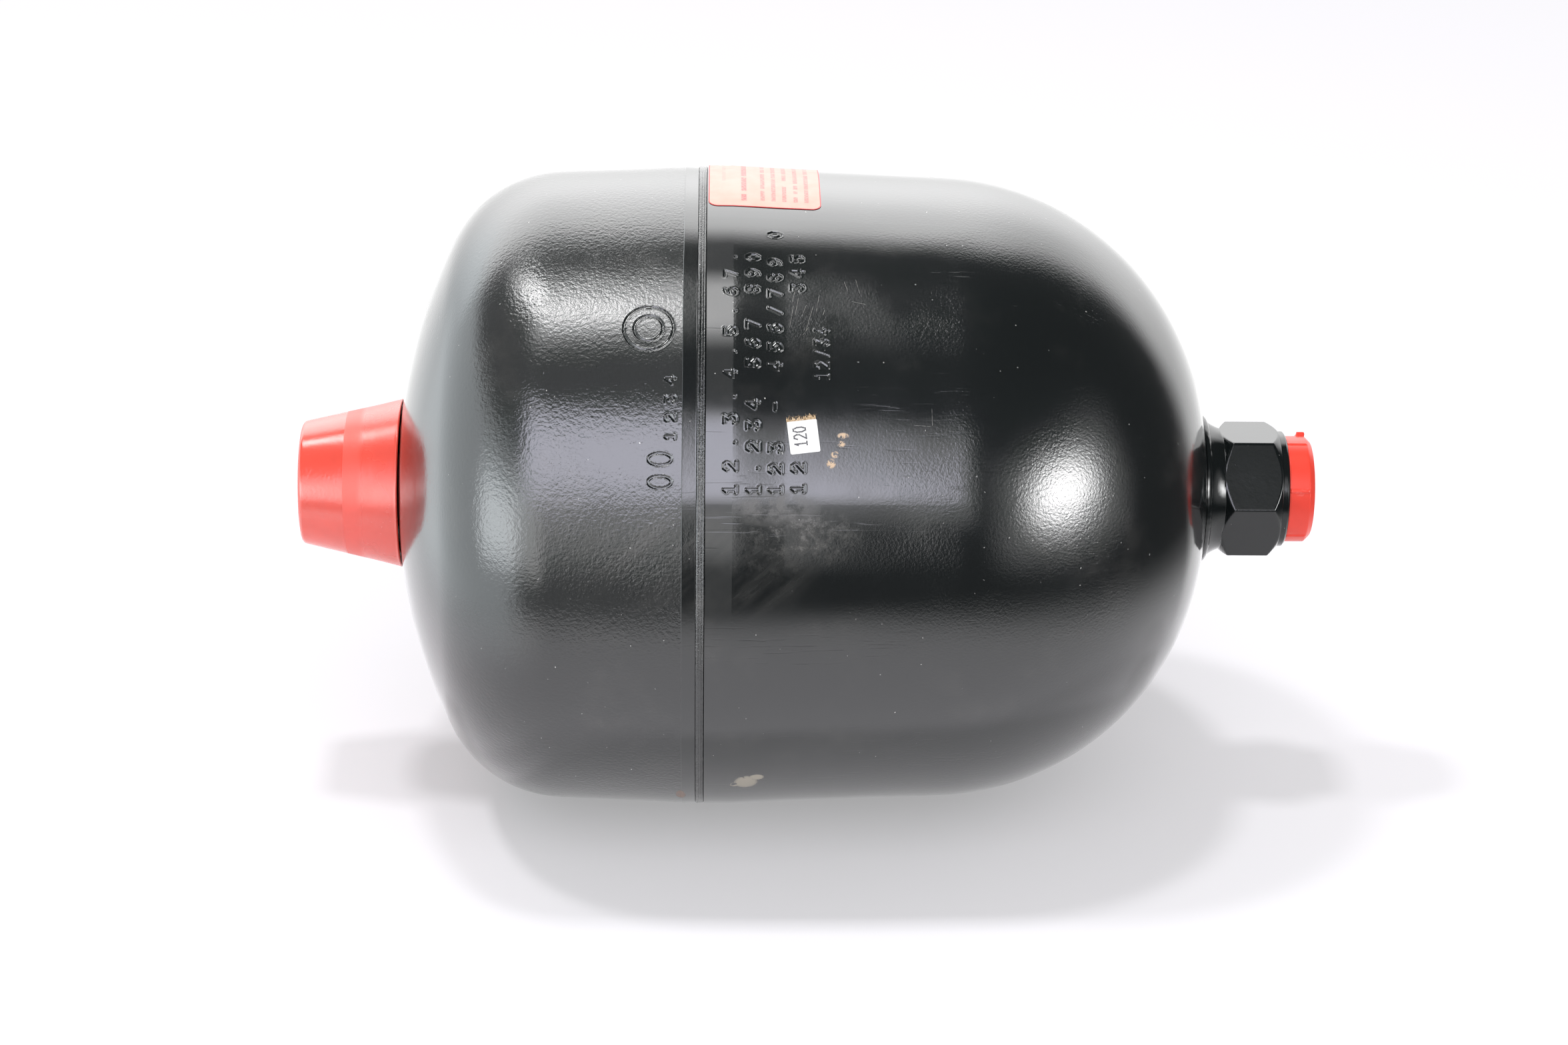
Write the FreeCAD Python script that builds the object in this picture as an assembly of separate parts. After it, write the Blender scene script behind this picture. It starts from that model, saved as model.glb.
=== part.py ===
import FreeCAD, Part
import math
import os

# Welded diaphragm accumulator, about 2.8 litres, in millimetres.
# The origin is the centre of the fluid port's end face. +X points out of the port, along the vessel's axis,
# and +Z is up as the accumulator lies. "u" below is the distance from the girth seam towards a shell's pole.
# A clock angle turns about the axis: 0 faces -Y, 90 faces +Z.

# Shells
band_radius = 85.35            # turned band on each side of the seam
band_step = 0.15               # from the band down to the forged skin
shell_wall = 8.0
forging_draft = 2.3            # degrees, both shells taper away from the seam
fluid_shell_height = 135.45    # seam to pole, outside
fluid_crown_radius = 115.0
fluid_knuckle_centre = 12.45    # the knuckle's centre off the axis, where its draft line meets the seam
fluid_band_reach = 7.75        # seam to the end of the turned band
gas_shell_height = 81.25
gas_crown_radius = 148.0
gas_knuckle_centre = 51.96
gas_band_reach = 4.65

# Girth weld
weld_width = 2.3
weld_edge_sink = 0.75          # weld surface below the band, at its edges
weld_crown_sink = 0.4          # and at its middle

# Turned seat inside the seam, clamp ring and diaphragm
seat_wall = 6.85               # wall left outside the turned seat
seat_clearance = 0.1
gas_seat_depth = 4.8           # seam to the shoulder in the gas-end shell
fluid_seat_depth = 13.0        # seam to the shoulder in the fluid-end shell
ring_fluid_reach = 5.0         # seam to the ring's face that presses on the bead
ring_section = 5.0
ring_lip_drop = 3.0            # the lip's inner surface below the ring's
ring_lip_length = 4.0
ring_lip_section = 2.0
diaphragm_gap = 0.3            # to the shell's inner wall
diaphragm_thickness = 3.0
diaphragm_boss_radius = 23.0
diaphragm_boss_height = 3.0
bead_neck = 1.2

# Button in the middle of the diaphragm
button_radius = 17.0
button_plate = 4.0
button_stem_radius = 7.0
button_head_radius = 11.0
button_head = 2.5
button_clearance = 0.1

# Fluid port fitting, lengths from the end face inwards
collar_radius = 15.55
collar_length = 1.9
collar_chamfer = 0.5
hex_across_flats = 32.0
hex_clock = 3.5                # clock angle of one corner
hex_length = 15.3
hex_outer_chamfer = 2.6        # 45 degrees, down to the collar's side
hex_inner_chamfer = 2.2        # 45 degrees, down to the neck
neck_length = 3.7              # hexagon to the shell's pole
flare_radius = 18.85
flare_land = 0.8
flare_sag = 0.7                # how far the flare's curve hangs inside its chord
port_recess_radius = 10.75
port_recess_depth = 3.6
port_thread_radius = 9.316     # G 1/2 at its minor diameter
port_thread_end = 17.0
port_bore_radius = 7.5
port_spigot_radius = 13.9
port_spigot_reach = 1.8        # inner seat face inside the shell wall's inner pole

# Welds of the two fittings to their domes
fitting_clearance = 0.1
weld_gap = 0.05
weld_bead_rise = 0.2           # how far a weld's face stands outside its chord
port_weld_leg = 1.3
gas_weld_leg = 2.6

# Gas valve boss, heights from the shell's pole
boss_spigot_radius = 11.9
boss_spigot_reach = 1.2
boss_collar_radius = 16.0
boss_collar_height = 4.5
boss_relief_radius = 12.9
boss_relief_length = 2.0
boss_thread_radius = 14.0      # M28x1.5 at its major diameter
boss_height = 22.9
boss_chamfer = 1.0
boss_screw_radius = 7.0
boss_passage_radius = 2.5

# Sealing screw and its ring
screw_clearance = 0.05
screw_head_clearance = 0.3
screw_head = 4.3
screw_sink = 0.5               # the head's top below the boss's end
screw_shank = 10.0
screw_end_gap = 2.0            # below the shank
screw_chamfer = 0.8
screw_socket_flats = 6.0
screw_socket_depth = 4.0
o_ring_section = 2.4
o_ring_squeeze = 0.2
o_ring_side_clearance = 0.3

# Red cap
cap_wall = 2.1
cap_end_wall = 2.3
cap_corner = 1.5
cap_taper = 13.0               # degrees
cap_flare_length = 6.1         # wider mouth at the rim
cap_grip_clearance = 0.2       # around the boss, at the closed end
cap_seat_gap = 0.3             # boss end to the cap's inner end
cap_rim_clearance = 1.95       # around the boss's weld
cap_rim_gap = 0.43             # rim to the dome

# Red plug
plug_head_radius = 14.2
plug_head = 7.0
plug_chamfer = 1.5
plug_recess_radius = 9.5
plug_recess_depth = 2.5
plug_web = 2.5
plug_end_gap = 0.4             # spigot to the recess's floor
plug_spigot_wall = 1.1
plug_spigot_clearance = 0.1
plug_spigot_chamfer = 0.4
plug_ribs = 6
plug_rib_clock = 57.0
plug_rib_width = 0.8
plug_rib_height = 0.3
plug_rib_root = 1.0            # depth of a rib's or the nub's foot in the head
plug_nub_clock = 112.0
plug_nub_length = 3.0
plug_nub_width = 1.6
plug_nub_height = 1.1

# Labels on the fluid-end shell
glue_gap = 0.02
label_thickness = 0.12
label_width = 28.9             # along the axis
label_length = 72.0            # around the shell, before it is wrapped
label_corner = 2.5
label_weld_gap = 0.3           # weld to the label's edge
label_clock = 103.8            # clock angle of its middle
sticker_width = 7.4
sticker_length = 8.4
sticker_corner = 0.3
sticker_reach = 25.3           # seam to the sticker's middle
sticker_clock = 31.0
sticker_turn = 7.2             # degrees, in its own plane
scrap_width = 6.6
scrap_length = 1.7
scrap_gap = 0.15
scrap_tear = ((0.8, 0.7), (0.3, 0.5), (0.0, 1.0), (-0.6, 0.55))  # in shares of half the width and the length

# Worked out from the sizes above
TO_GAS = -1
TO_FLUID = 1
draft = math.radians(forging_draft)
forged_radius = band_radius - band_step
seat_radius = band_radius - seat_wall
fluid_pole_x = -(collar_length + hex_length + neck_length)
seam_x = fluid_pole_x - fluid_shell_height
gas_pole_x = seam_x - gas_shell_height
hex_corner_radius = hex_across_flats / 2 / math.cos(math.radians(30))
neck_radius = hex_corner_radius - hex_inner_chamfer
boss_tip_x = gas_pole_x - boss_height
o_ring_height = o_ring_section - o_ring_squeeze
boss_counterbore_radius = boss_screw_radius + o_ring_section + 2 * o_ring_side_clearance
boss_counterbore_depth = o_ring_height + screw_head + screw_sink
boss_screw_depth = screw_shank + screw_end_gap
plug_spigot_length = port_recess_depth - plug_end_gap
label_start = weld_width / 2 + label_weld_gap
seat_face_u = fluid_shell_height - shell_wall - port_spigot_reach
cutter_margin = 10.0

X_AXIS = FreeCAD.Vector(1, 0, 0)
Z_AXIS = FreeCAD.Vector(0, 0, 1)
ORIGIN = FreeCAD.Vector(0, 0, 0)


def at(x, radius):
    """Point of an outline, in the half-plane through the axis."""
    return FreeCAD.Vector(x, 0, radius)


def middle_of_arc(centre, radius, start, end):
    """Point halfway along the short arc between two points of a circle."""
    chord = (start + end) * 0.5 - centre
    return centre + chord.normalize() * radius


def turned(start, *moves):
    """Solid of revolution. A move is a point, or a pair for an arc: a point it passes and its end."""
    edges = []
    here = start
    for move in moves:
        if isinstance(move, tuple):
            passing, there = move
            edges.append(Part.Arc(here, passing, there).toShape())
        else:
            there = move
            edges.append(Part.LineSegment(here, there).toShape())
        here = there
    if here != start:
        edges.append(Part.LineSegment(here, start).toShape())
    return Part.Face(Part.Wire(edges)).revolve(ORIGIN, X_AXIS, 360)


def hexagonal_prism(across_flats, x_start, length, clock):
    """Hexagonal prism along the axis, with one corner at the given clock angle."""
    corner_radius = across_flats / 2 / math.cos(math.radians(30))
    corners = []
    for side in range(7):
        angle = math.radians(clock + 60 * side)
        corners.append(at(x_start, 0) + FreeCAD.Vector(0, -math.cos(angle), math.sin(angle)) * corner_radius)
    return Part.Face(Part.makePolygon(corners)).extrude(X_AXIS * length)


def ring_around(radius, x_start, length):
    """Plain cylinder along the axis, used as a cutter."""
    return Part.makeCylinder(radius, length, FreeCAD.Vector(x_start, 0, 0), X_AXIS)


class Dome:
    """Outer surface of a half shell: a drafted wall, a knuckle arc and a crown arc, each tangent to the next.

    An inset moves the whole surface inwards, and a negative one moves it outwards.
    """

    def __init__(self, side, height, crown, knuckle_centre, wall_start):
        self.side = side
        self.crown = crown
        self.wall_start = wall_start
        self.crown_centre = height - crown
        slope = math.tan(draft)
        self.knuckle = (forged_radius + slope * wall_start - knuckle_centre) * math.cos(draft)
        reach = crown - self.knuckle
        a = 1 + slope * slope
        b = -2 * (self.crown_centre + knuckle_centre * slope)
        c = self.crown_centre ** 2 + knuckle_centre ** 2 - reach ** 2
        self.knuckle_u = (-b + math.sqrt(b * b - 4 * a * c)) / (2 * a)
        self.knuckle_r = knuckle_centre - slope * self.knuckle_u
        self.reach = reach

    def place(self, u, radius):
        return at(seam_x + self.side * u, radius)

    def wall_radius(self, u, inset=0.0):
        return forged_radius - (u - self.wall_start) * math.tan(draft) - inset / math.cos(draft)

    def on_wall(self, u, inset=0.0):
        return self.place(u, self.wall_radius(u, inset))

    def knuckle_start(self, inset=0.0):
        size = self.knuckle - inset
        return self.place(self.knuckle_u + size * math.sin(draft), self.knuckle_r + size * math.cos(draft))

    def crown_start(self, inset=0.0):
        size = self.crown - inset
        along = (self.knuckle_u - self.crown_centre) / self.reach
        across = self.knuckle_r / self.reach
        return self.place(self.crown_centre + size * along, size * across)

    def crown_u(self, radius, inset=0.0):
        return self.crown_centre + math.sqrt((self.crown - inset) ** 2 - radius ** 2)

    def on_crown(self, radius, inset=0.0):
        return self.place(self.crown_u(radius, inset), radius)

    def knuckle_arc(self, inset, to_crown=True):
        """Move along the knuckle, towards the crown or back towards the wall."""
        start = self.knuckle_start(inset)
        end = self.crown_start(inset)
        centre = self.place(self.knuckle_u, self.knuckle_r)
        passing = middle_of_arc(centre, self.knuckle - inset, start, end)
        return (passing, end) if to_crown else (passing, start)

    def crown_arc(self, start, end, inset):
        """Move along the crown between two of its points."""
        centre = self.place(self.crown_centre, 0)
        return (middle_of_arc(centre, self.crown - inset, start, end), end)


gas_dome = Dome(TO_GAS, gas_shell_height, gas_crown_radius, gas_knuckle_centre, gas_band_reach)
fluid_dome = Dome(TO_FLUID, fluid_shell_height, fluid_crown_radius, fluid_knuckle_centre, fluid_band_reach)


def half_shell(dome, band_reach, seat_depth, hole_radius):
    """One forged half: turned band, drafted skin, dome, hole at the pole and the turned seat inside."""
    face_u = weld_width / 2
    outer_lip = dome.on_crown(hole_radius)
    inner_lip = dome.on_crown(hole_radius, shell_wall)
    inner_crown = dome.crown_start(shell_wall)
    return turned(
        dome.place(face_u, band_radius),
        dome.place(band_reach, band_radius),
        dome.on_wall(band_reach),
        dome.knuckle_start(),
        dome.knuckle_arc(0.0),
        dome.crown_arc(dome.crown_start(), outer_lip, 0.0),
        inner_lip,
        dome.crown_arc(inner_lip, inner_crown, shell_wall),
        dome.knuckle_arc(shell_wall, to_crown=False),
        dome.on_wall(seat_depth, shell_wall),
        dome.place(seat_depth, seat_radius),
        dome.place(face_u, seat_radius),
    )


def gas_end_shell():
    return half_shell(gas_dome, gas_band_reach, gas_seat_depth, boss_spigot_radius + fitting_clearance)


def fluid_end_shell():
    return half_shell(fluid_dome, fluid_band_reach, fluid_seat_depth, port_spigot_radius + fitting_clearance)


def shell_weld():
    """Girth weld through the whole wall, a little below the bands, with a low rounded bead."""
    half = weld_width / 2
    edge = band_radius - weld_edge_sink
    crest = band_radius - weld_crown_sink
    return turned(
        at(seam_x - half, seat_radius),
        at(seam_x - half, edge),
        (at(seam_x, crest), at(seam_x + half, edge)),
        at(seam_x + half, seat_radius),
    )


def diaphragm_clamp_ring():
    """Steel ring across the seam, with a lip that keeps the diaphragm's bead on its shoulder."""
    outer = seat_radius - seat_clearance
    inner = outer - ring_section
    lip_inner = inner - ring_lip_drop
    lip_outer = lip_inner + ring_lip_section
    return turned(
        fluid_dome.place(-gas_seat_depth, inner),
        fluid_dome.place(-gas_seat_depth, outer),
        fluid_dome.place(ring_fluid_reach, outer),
        fluid_dome.place(ring_fluid_reach, lip_outer),
        fluid_dome.place(ring_fluid_reach + ring_lip_length, lip_outer),
        fluid_dome.place(ring_fluid_reach + ring_lip_length, lip_inner),
        fluid_dome.place(ring_fluid_reach - ring_lip_drop, lip_inner),
        fluid_dome.place(ring_fluid_reach - ring_lip_drop, inner),
    )


def diaphragm():
    """Rubber diaphragm in its precharged shape: bead, wall along the fluid end, and the button's boss."""
    outside = shell_wall + diaphragm_gap
    inside = outside + diaphragm_thickness
    bead_outer = seat_radius - seat_clearance
    bead_inner = bead_outer - ring_section - ring_lip_drop + ring_lip_section + seat_clearance
    pocket_radius = button_radius + button_clearance
    pocket_u = seat_face_u - button_plate - button_clearance
    boss_u = pocket_u - diaphragm_boss_height
    stem_radius = button_stem_radius + button_clearance
    outer_pocket = fluid_dome.on_crown(pocket_radius, outside)
    inner_boss = fluid_dome.on_crown(diaphragm_boss_radius, inside)
    inner_crown = fluid_dome.crown_start(inside)
    return turned(
        fluid_dome.place(ring_fluid_reach, bead_inner),
        fluid_dome.place(ring_fluid_reach, bead_outer),
        fluid_dome.place(fluid_seat_depth, bead_outer),
        fluid_dome.on_wall(fluid_seat_depth, outside),
        fluid_dome.knuckle_start(outside),
        fluid_dome.knuckle_arc(outside),
        fluid_dome.crown_arc(fluid_dome.crown_start(outside), outer_pocket, outside),
        fluid_dome.place(pocket_u, pocket_radius),
        fluid_dome.place(pocket_u, stem_radius),
        fluid_dome.place(boss_u, stem_radius),
        fluid_dome.place(boss_u, diaphragm_boss_radius),
        inner_boss,
        fluid_dome.crown_arc(inner_boss, inner_crown, inside),
        fluid_dome.knuckle_arc(inside, to_crown=False),
        fluid_dome.on_wall(fluid_seat_depth + bead_neck, inside),
        fluid_dome.place(fluid_seat_depth, bead_inner),
    )


def diaphragm_button():
    """Metal button: a plate on the port's seat, a stem through the rubber and a head behind it."""
    plate_u = seat_face_u - button_plate
    head_u = plate_u - button_clearance - diaphragm_boss_height - button_clearance
    return turned(
        fluid_dome.place(seat_face_u, 0),
        fluid_dome.place(seat_face_u, button_radius),
        fluid_dome.place(plate_u, button_radius),
        fluid_dome.place(plate_u, button_stem_radius),
        fluid_dome.place(head_u, button_stem_radius),
        fluid_dome.place(head_u, button_head_radius),
        fluid_dome.place(head_u - button_head, button_head_radius),
        fluid_dome.place(head_u - button_head, 0),
    )


def hexagon_trim(x_start, length):
    """Everything outside the hexagon, over the hexagon's length."""
    blank = ring_around(hex_corner_radius + cutter_margin, x_start, length)
    return blank.cut(hexagonal_prism(hex_across_flats, x_start, length, hex_clock))


def fluid_port_fitting():
    """Turned fitting: seat, spigot through the shell, flared neck, hexagon, collar and threaded bore."""
    hex_end_x = -collar_length
    hex_start_x = hex_end_x - hex_length
    outer_end_radius = hex_corner_radius - hex_outer_chamfer
    base_inner = fluid_dome.on_crown(port_spigot_radius, -weld_gap)
    base_outer = fluid_dome.on_crown(flare_radius, -weld_gap)
    flare_top = base_outer.x + flare_land
    sweep = FreeCAD.Vector(hex_start_x - flare_top, 0, neck_radius - flare_radius)
    inwards = at(sweep.z, -sweep.x).normalize()
    flare_passing = at(flare_top, flare_radius) + sweep * 0.5 + inwards * flare_sag
    seat_x = seam_x + seat_face_u
    thread_step = port_thread_radius - port_bore_radius
    body = turned(
        at(seat_x, port_bore_radius),
        at(seat_x, port_spigot_radius),
        base_inner,
        fluid_dome.crown_arc(base_inner, base_outer, -weld_gap),
        at(flare_top, flare_radius),
        (flare_passing, at(hex_start_x, neck_radius)),
        at(hex_start_x + hex_inner_chamfer, hex_corner_radius),
        at(hex_end_x - hex_outer_chamfer, hex_corner_radius),
        at(hex_end_x, outer_end_radius),
        at(hex_end_x, collar_radius),
        at(-collar_chamfer, collar_radius),
        at(0, collar_radius - collar_chamfer),
        at(0, port_recess_radius),
        at(-port_recess_depth, port_recess_radius),
        at(-port_recess_depth, port_thread_radius),
        at(-port_thread_end, port_thread_radius),
        at(-port_thread_end - thread_step, port_bore_radius),
    )
    return body.cut(hexagon_trim(hex_start_x, hex_length))


def fillet_weld(dome, base_radius, leg):
    """Ring of weld in the corner between a dome and a fitting's round base."""
    inner = base_radius + weld_gap
    root = dome.on_crown(inner, -weld_gap)
    toe = dome.on_crown(inner + leg, -weld_gap)
    top = at(root.x + dome.side * leg, inner)
    bead = (toe + top) * 0.5 + at(dome.side, 1).normalize() * weld_bead_rise
    return turned(root, dome.crown_arc(root, toe, -weld_gap), (bead, top))


def port_weld():
    return fillet_weld(fluid_dome, flare_radius, port_weld_leg)


def gas_boss_weld():
    return fillet_weld(gas_dome, boss_collar_radius, gas_weld_leg)


def gas_valve_boss():
    """Threaded boss: spigot through the shell, collar, relief, thread, and the sealing screw's seat."""
    inner_end_x = gas_pole_x + shell_wall + boss_spigot_reach
    collar_x = gas_pole_x - boss_collar_height
    relief_x = collar_x - boss_relief_length
    floor_x = boss_tip_x + boss_counterbore_depth
    screw_end_x = floor_x + boss_screw_depth
    passage_step = boss_screw_radius - boss_passage_radius
    base_inner = gas_dome.on_crown(boss_spigot_radius, -weld_gap)
    base_outer = gas_dome.on_crown(boss_collar_radius, -weld_gap)
    relief_step = boss_thread_radius - boss_relief_radius
    return turned(
        at(inner_end_x, boss_passage_radius),
        at(inner_end_x, boss_spigot_radius),
        base_inner,
        gas_dome.crown_arc(base_inner, base_outer, -weld_gap),
        at(collar_x, boss_collar_radius),
        at(collar_x, boss_relief_radius),
        at(relief_x, boss_relief_radius),
        at(relief_x - relief_step, boss_thread_radius),
        at(boss_tip_x + boss_chamfer, boss_thread_radius),
        at(boss_tip_x, boss_thread_radius - boss_chamfer),
        at(boss_tip_x, boss_counterbore_radius),
        at(floor_x, boss_counterbore_radius),
        at(floor_x, boss_screw_radius),
        at(screw_end_x, boss_screw_radius),
        at(screw_end_x + passage_step, boss_passage_radius),
    )


def sealing_screw():
    """Socket screw that shuts the boss, its head on the ring in the counterbore."""
    head_radius = boss_counterbore_radius - screw_head_clearance
    shank_radius = boss_screw_radius - screw_clearance
    head_x = boss_tip_x + boss_counterbore_depth - o_ring_height
    top_x = head_x - screw_head
    end_x = head_x + screw_shank
    body = turned(
        at(top_x, 0),
        at(top_x, head_radius - screw_chamfer),
        at(top_x + screw_chamfer, head_radius),
        at(head_x, head_radius),
        at(head_x, shank_radius),
        at(end_x - screw_chamfer, shank_radius),
        at(end_x, shank_radius - screw_chamfer),
        at(end_x, 0),
    )
    return body.cut(hexagonal_prism(screw_socket_flats, top_x, screw_socket_depth, 0))


def sealing_screw_o_ring():
    """Squeezed ring between the counterbore's floor and the screw's head: flat where it is pressed."""
    floor_x = boss_tip_x + boss_counterbore_depth
    head_x = floor_x - o_ring_height
    outer = boss_counterbore_radius - o_ring_side_clearance
    centre_radius = outer - o_ring_section / 2
    flat = math.sqrt(o_ring_section ** 2 - o_ring_height ** 2) / 2
    middle_x = (floor_x + head_x) / 2
    return turned(
        at(floor_x, centre_radius - flat),
        at(floor_x, centre_radius + flat),
        (at(middle_x, outer), at(head_x, centre_radius + flat)),
        at(head_x, centre_radius - flat),
        (at(middle_x, outer - o_ring_section), at(floor_x, centre_radius - flat)),
    )


def gas_valve_cap():
    """Moulded tapered cap with an even wall and a wider mouth, pushed over the boss."""
    taper = math.tan(math.radians(cap_taper))
    end_radius = boss_thread_radius + cap_grip_clearance + cap_wall
    rim_radius = boss_collar_radius + gas_weld_leg + cap_rim_clearance + cap_wall
    inner_end_x = boss_tip_x - cap_seat_gap
    end_x = inner_end_x - cap_end_wall
    rim_x = gas_dome.on_crown(rim_radius - cap_wall).x - cap_rim_gap
    flare_x = rim_x - cap_flare_length
    flare_radius = end_radius + taper * (flare_x - end_x)
    corner_end = at(end_x + cap_corner, end_radius + taper * cap_corner)
    corner_centre = corner_end - at(0, cap_corner)
    corner_start = at(end_x, corner_centre.z)
    return turned(
        at(end_x, 0),
        corner_start,
        (middle_of_arc(corner_centre, cap_corner, corner_start, corner_end), corner_end),
        at(flare_x, flare_radius),
        at(rim_x, rim_radius),
        at(rim_x, rim_radius - cap_wall),
        at(flare_x, flare_radius - cap_wall),
        at(inner_end_x, end_radius + taper * cap_end_wall - cap_wall),
        at(inner_end_x, 0),
    )


def plug_block(clock, x_start, length, width, height):
    """Small bar that stands on the plug's head along the axis, at a clock angle."""
    foot = FreeCAD.Vector(x_start, -width / 2, plug_head_radius - plug_rib_root)
    block = Part.makeBox(length, width, height + plug_rib_root, foot)
    block.rotate(ORIGIN, X_AXIS, 90 - clock)
    return block


def port_plug():
    """Push-in dust plug: a ribbed round head with a dished face, and a hollow spigot in the port's recess."""
    spigot_outer = port_recess_radius - plug_spigot_clearance
    spigot_inner = spigot_outer - plug_spigot_wall
    dish_x = plug_head - plug_recess_depth
    body = turned(
        at(-plug_spigot_length, spigot_inner),
        at(-plug_spigot_length, spigot_outer - plug_spigot_chamfer),
        at(-plug_spigot_length + plug_spigot_chamfer, spigot_outer),
        at(0, spigot_outer),
        at(0, plug_head_radius),
        at(plug_head - plug_chamfer, plug_head_radius),
        at(plug_head, plug_head_radius - plug_chamfer),
        at(plug_head, plug_recess_radius),
        at(dish_x, plug_recess_radius),
        at(dish_x, 0),
        at(dish_x - plug_web, 0),
        at(dish_x - plug_web, spigot_inner),
    )
    rib_length = plug_head - plug_chamfer
    for rib in range(plug_ribs):
        clock = plug_rib_clock + rib * 360 / plug_ribs
        body = body.fuse(plug_block(clock, 0, rib_length, plug_rib_width, plug_rib_height))
    nub_start = rib_length - plug_nub_length
    nub = plug_block(plug_nub_clock, nub_start, plug_nub_length, plug_nub_width, plug_nub_height)
    return body.fuse(nub).removeSplitter()


def shell_skin(u_start, u_end, thickness):
    """Thin tube that follows the fluid-end shell's outer skin, over the band's step where it reaches it."""
    path = []
    if u_start < fluid_band_reach:
        path.append((u_start, band_radius))
        path.append((fluid_band_reach, band_radius))
    else:
        path.append((u_start, fluid_dome.wall_radius(u_start)))
    path.append((u_end, fluid_dome.wall_radius(u_end)))
    inner = [fluid_dome.place(u, radius + glue_gap) for u, radius in path]
    outer = [fluid_dome.place(u, radius + glue_gap + thickness) for u, radius in path]
    return turned(*inner, *reversed(outer))


def rounded_sheet(width, length, corner):
    """Flat rectangle with rounded corners, centred on the origin."""
    a = width / 2 - corner
    b = length / 2 - corner
    edges = []
    corners = ((a, b, 0), (-a, b, 90), (-a, -b, 180), (a, -b, 270))
    for index, (x, y, turn) in enumerate(corners):
        circle = Part.Circle(FreeCAD.Vector(x, y, 0), Z_AXIS, corner)
        arc = Part.Arc(circle, math.radians(turn), math.radians(turn + 90)).toShape()
        next_x, next_y, next_turn = corners[(index + 1) % 4]
        start = arc.Vertexes[1].Point
        direction = math.radians(next_turn)
        end = FreeCAD.Vector(next_x + corner * math.cos(direction), next_y + corner * math.sin(direction), 0)
        edges.append(arc)
        edges.append(Part.LineSegment(start, end).toShape())
    return Part.Face(Part.Wire(edges))


def stuck_on(sheet, reach, clock, turn, thickness, half_width):
    """Wraps a flat outline onto the fluid-end shell: the part of the skin that lies under the outline."""
    cutter = sheet.extrude(Z_AXIS * (band_radius + cutter_margin))
    cutter.rotate(ORIGIN, Z_AXIS, turn)
    cutter.translate(FreeCAD.Vector(seam_x + reach, 0, 0))
    cutter.rotate(ORIGIN, X_AXIS, 90 - clock)
    skin = shell_skin(reach - half_width, reach + half_width, thickness)
    return skin.common(cutter)


def data_label():
    sheet = rounded_sheet(label_width, label_length, label_corner)
    reach = label_start + label_width / 2
    return stuck_on(sheet, reach, label_clock, 0, label_thickness, label_width / 2)


def precharge_sticker():
    sheet = rounded_sheet(sticker_width, sticker_length, sticker_corner)
    return stuck_on(sheet, sticker_reach, sticker_clock, sticker_turn, label_thickness, sticker_length)


def paper_scrap():
    """What is left of a torn paper strip, just above the sticker."""
    half = scrap_width / 2
    base = sticker_length / 2 + scrap_gap
    outline = [(-half, base), (half, base)]
    outline += [(half * across, base + scrap_length * up) for across, up in scrap_tear]
    outline.append(outline[0])
    sheet = Part.Face(Part.makePolygon([FreeCAD.Vector(x, y, 0) for x, y in outline]))
    reach_needed = base + scrap_length + scrap_width
    return stuck_on(sheet, sticker_reach, sticker_clock, sticker_turn, label_thickness, reach_needed)


PIECES = (
    gas_end_shell, fluid_end_shell, shell_weld,
    diaphragm_clamp_ring, diaphragm, diaphragm_button,
    gas_valve_boss, gas_boss_weld, sealing_screw, sealing_screw_o_ring, gas_valve_cap,
    fluid_port_fitting, port_weld, port_plug,
    data_label, precharge_sticker, paper_scrap,
)

os.makedirs("parts", exist_ok=True)
for piece in PIECES:
    shape = piece()
    shape.exportStep("parts/" + piece.__name__ + ".step")
    box = shape.BoundBox
    print("%-22s %d solid(s)  %10.1f mm3  x %8.2f to %8.2f  radius %6.2f" % (
        piece.__name__, len(shape.Solids), shape.Volume, box.XMin, box.XMax, box.ZMax))
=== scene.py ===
# %% [markdown]
# # A diaphragm accumulator
# The object is a welded steel pressure vessel that lies on its side: two pressed half shells in gloss black
# paint, a red cap over the gas valve on the left and a hexagon port with a red plug on the right.
# Its sizes come from the measured model, which is loaded first, so every piece below is built in that
# model's frame: the port's end face is at x = 0, the vessel lies along -X, and Z is up.
# %% Load the measured model
import math

import bmesh
import bpy
import numpy as np
from mathutils import Matrix, Vector


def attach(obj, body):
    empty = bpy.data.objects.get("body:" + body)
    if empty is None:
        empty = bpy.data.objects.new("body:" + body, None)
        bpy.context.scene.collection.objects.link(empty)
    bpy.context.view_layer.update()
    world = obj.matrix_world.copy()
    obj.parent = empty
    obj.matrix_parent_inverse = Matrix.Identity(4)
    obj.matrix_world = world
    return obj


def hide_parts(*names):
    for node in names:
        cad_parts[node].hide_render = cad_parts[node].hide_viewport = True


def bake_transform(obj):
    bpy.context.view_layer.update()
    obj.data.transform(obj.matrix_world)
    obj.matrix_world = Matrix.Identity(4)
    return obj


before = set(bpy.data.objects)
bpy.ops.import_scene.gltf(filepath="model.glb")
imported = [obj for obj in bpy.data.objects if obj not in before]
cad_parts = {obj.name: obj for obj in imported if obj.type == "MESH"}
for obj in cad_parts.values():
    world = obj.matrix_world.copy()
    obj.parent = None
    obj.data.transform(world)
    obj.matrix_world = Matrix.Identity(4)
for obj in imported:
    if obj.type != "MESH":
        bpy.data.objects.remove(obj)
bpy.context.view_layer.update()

print("measured pieces:", ", ".join(sorted(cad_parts)))

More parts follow.
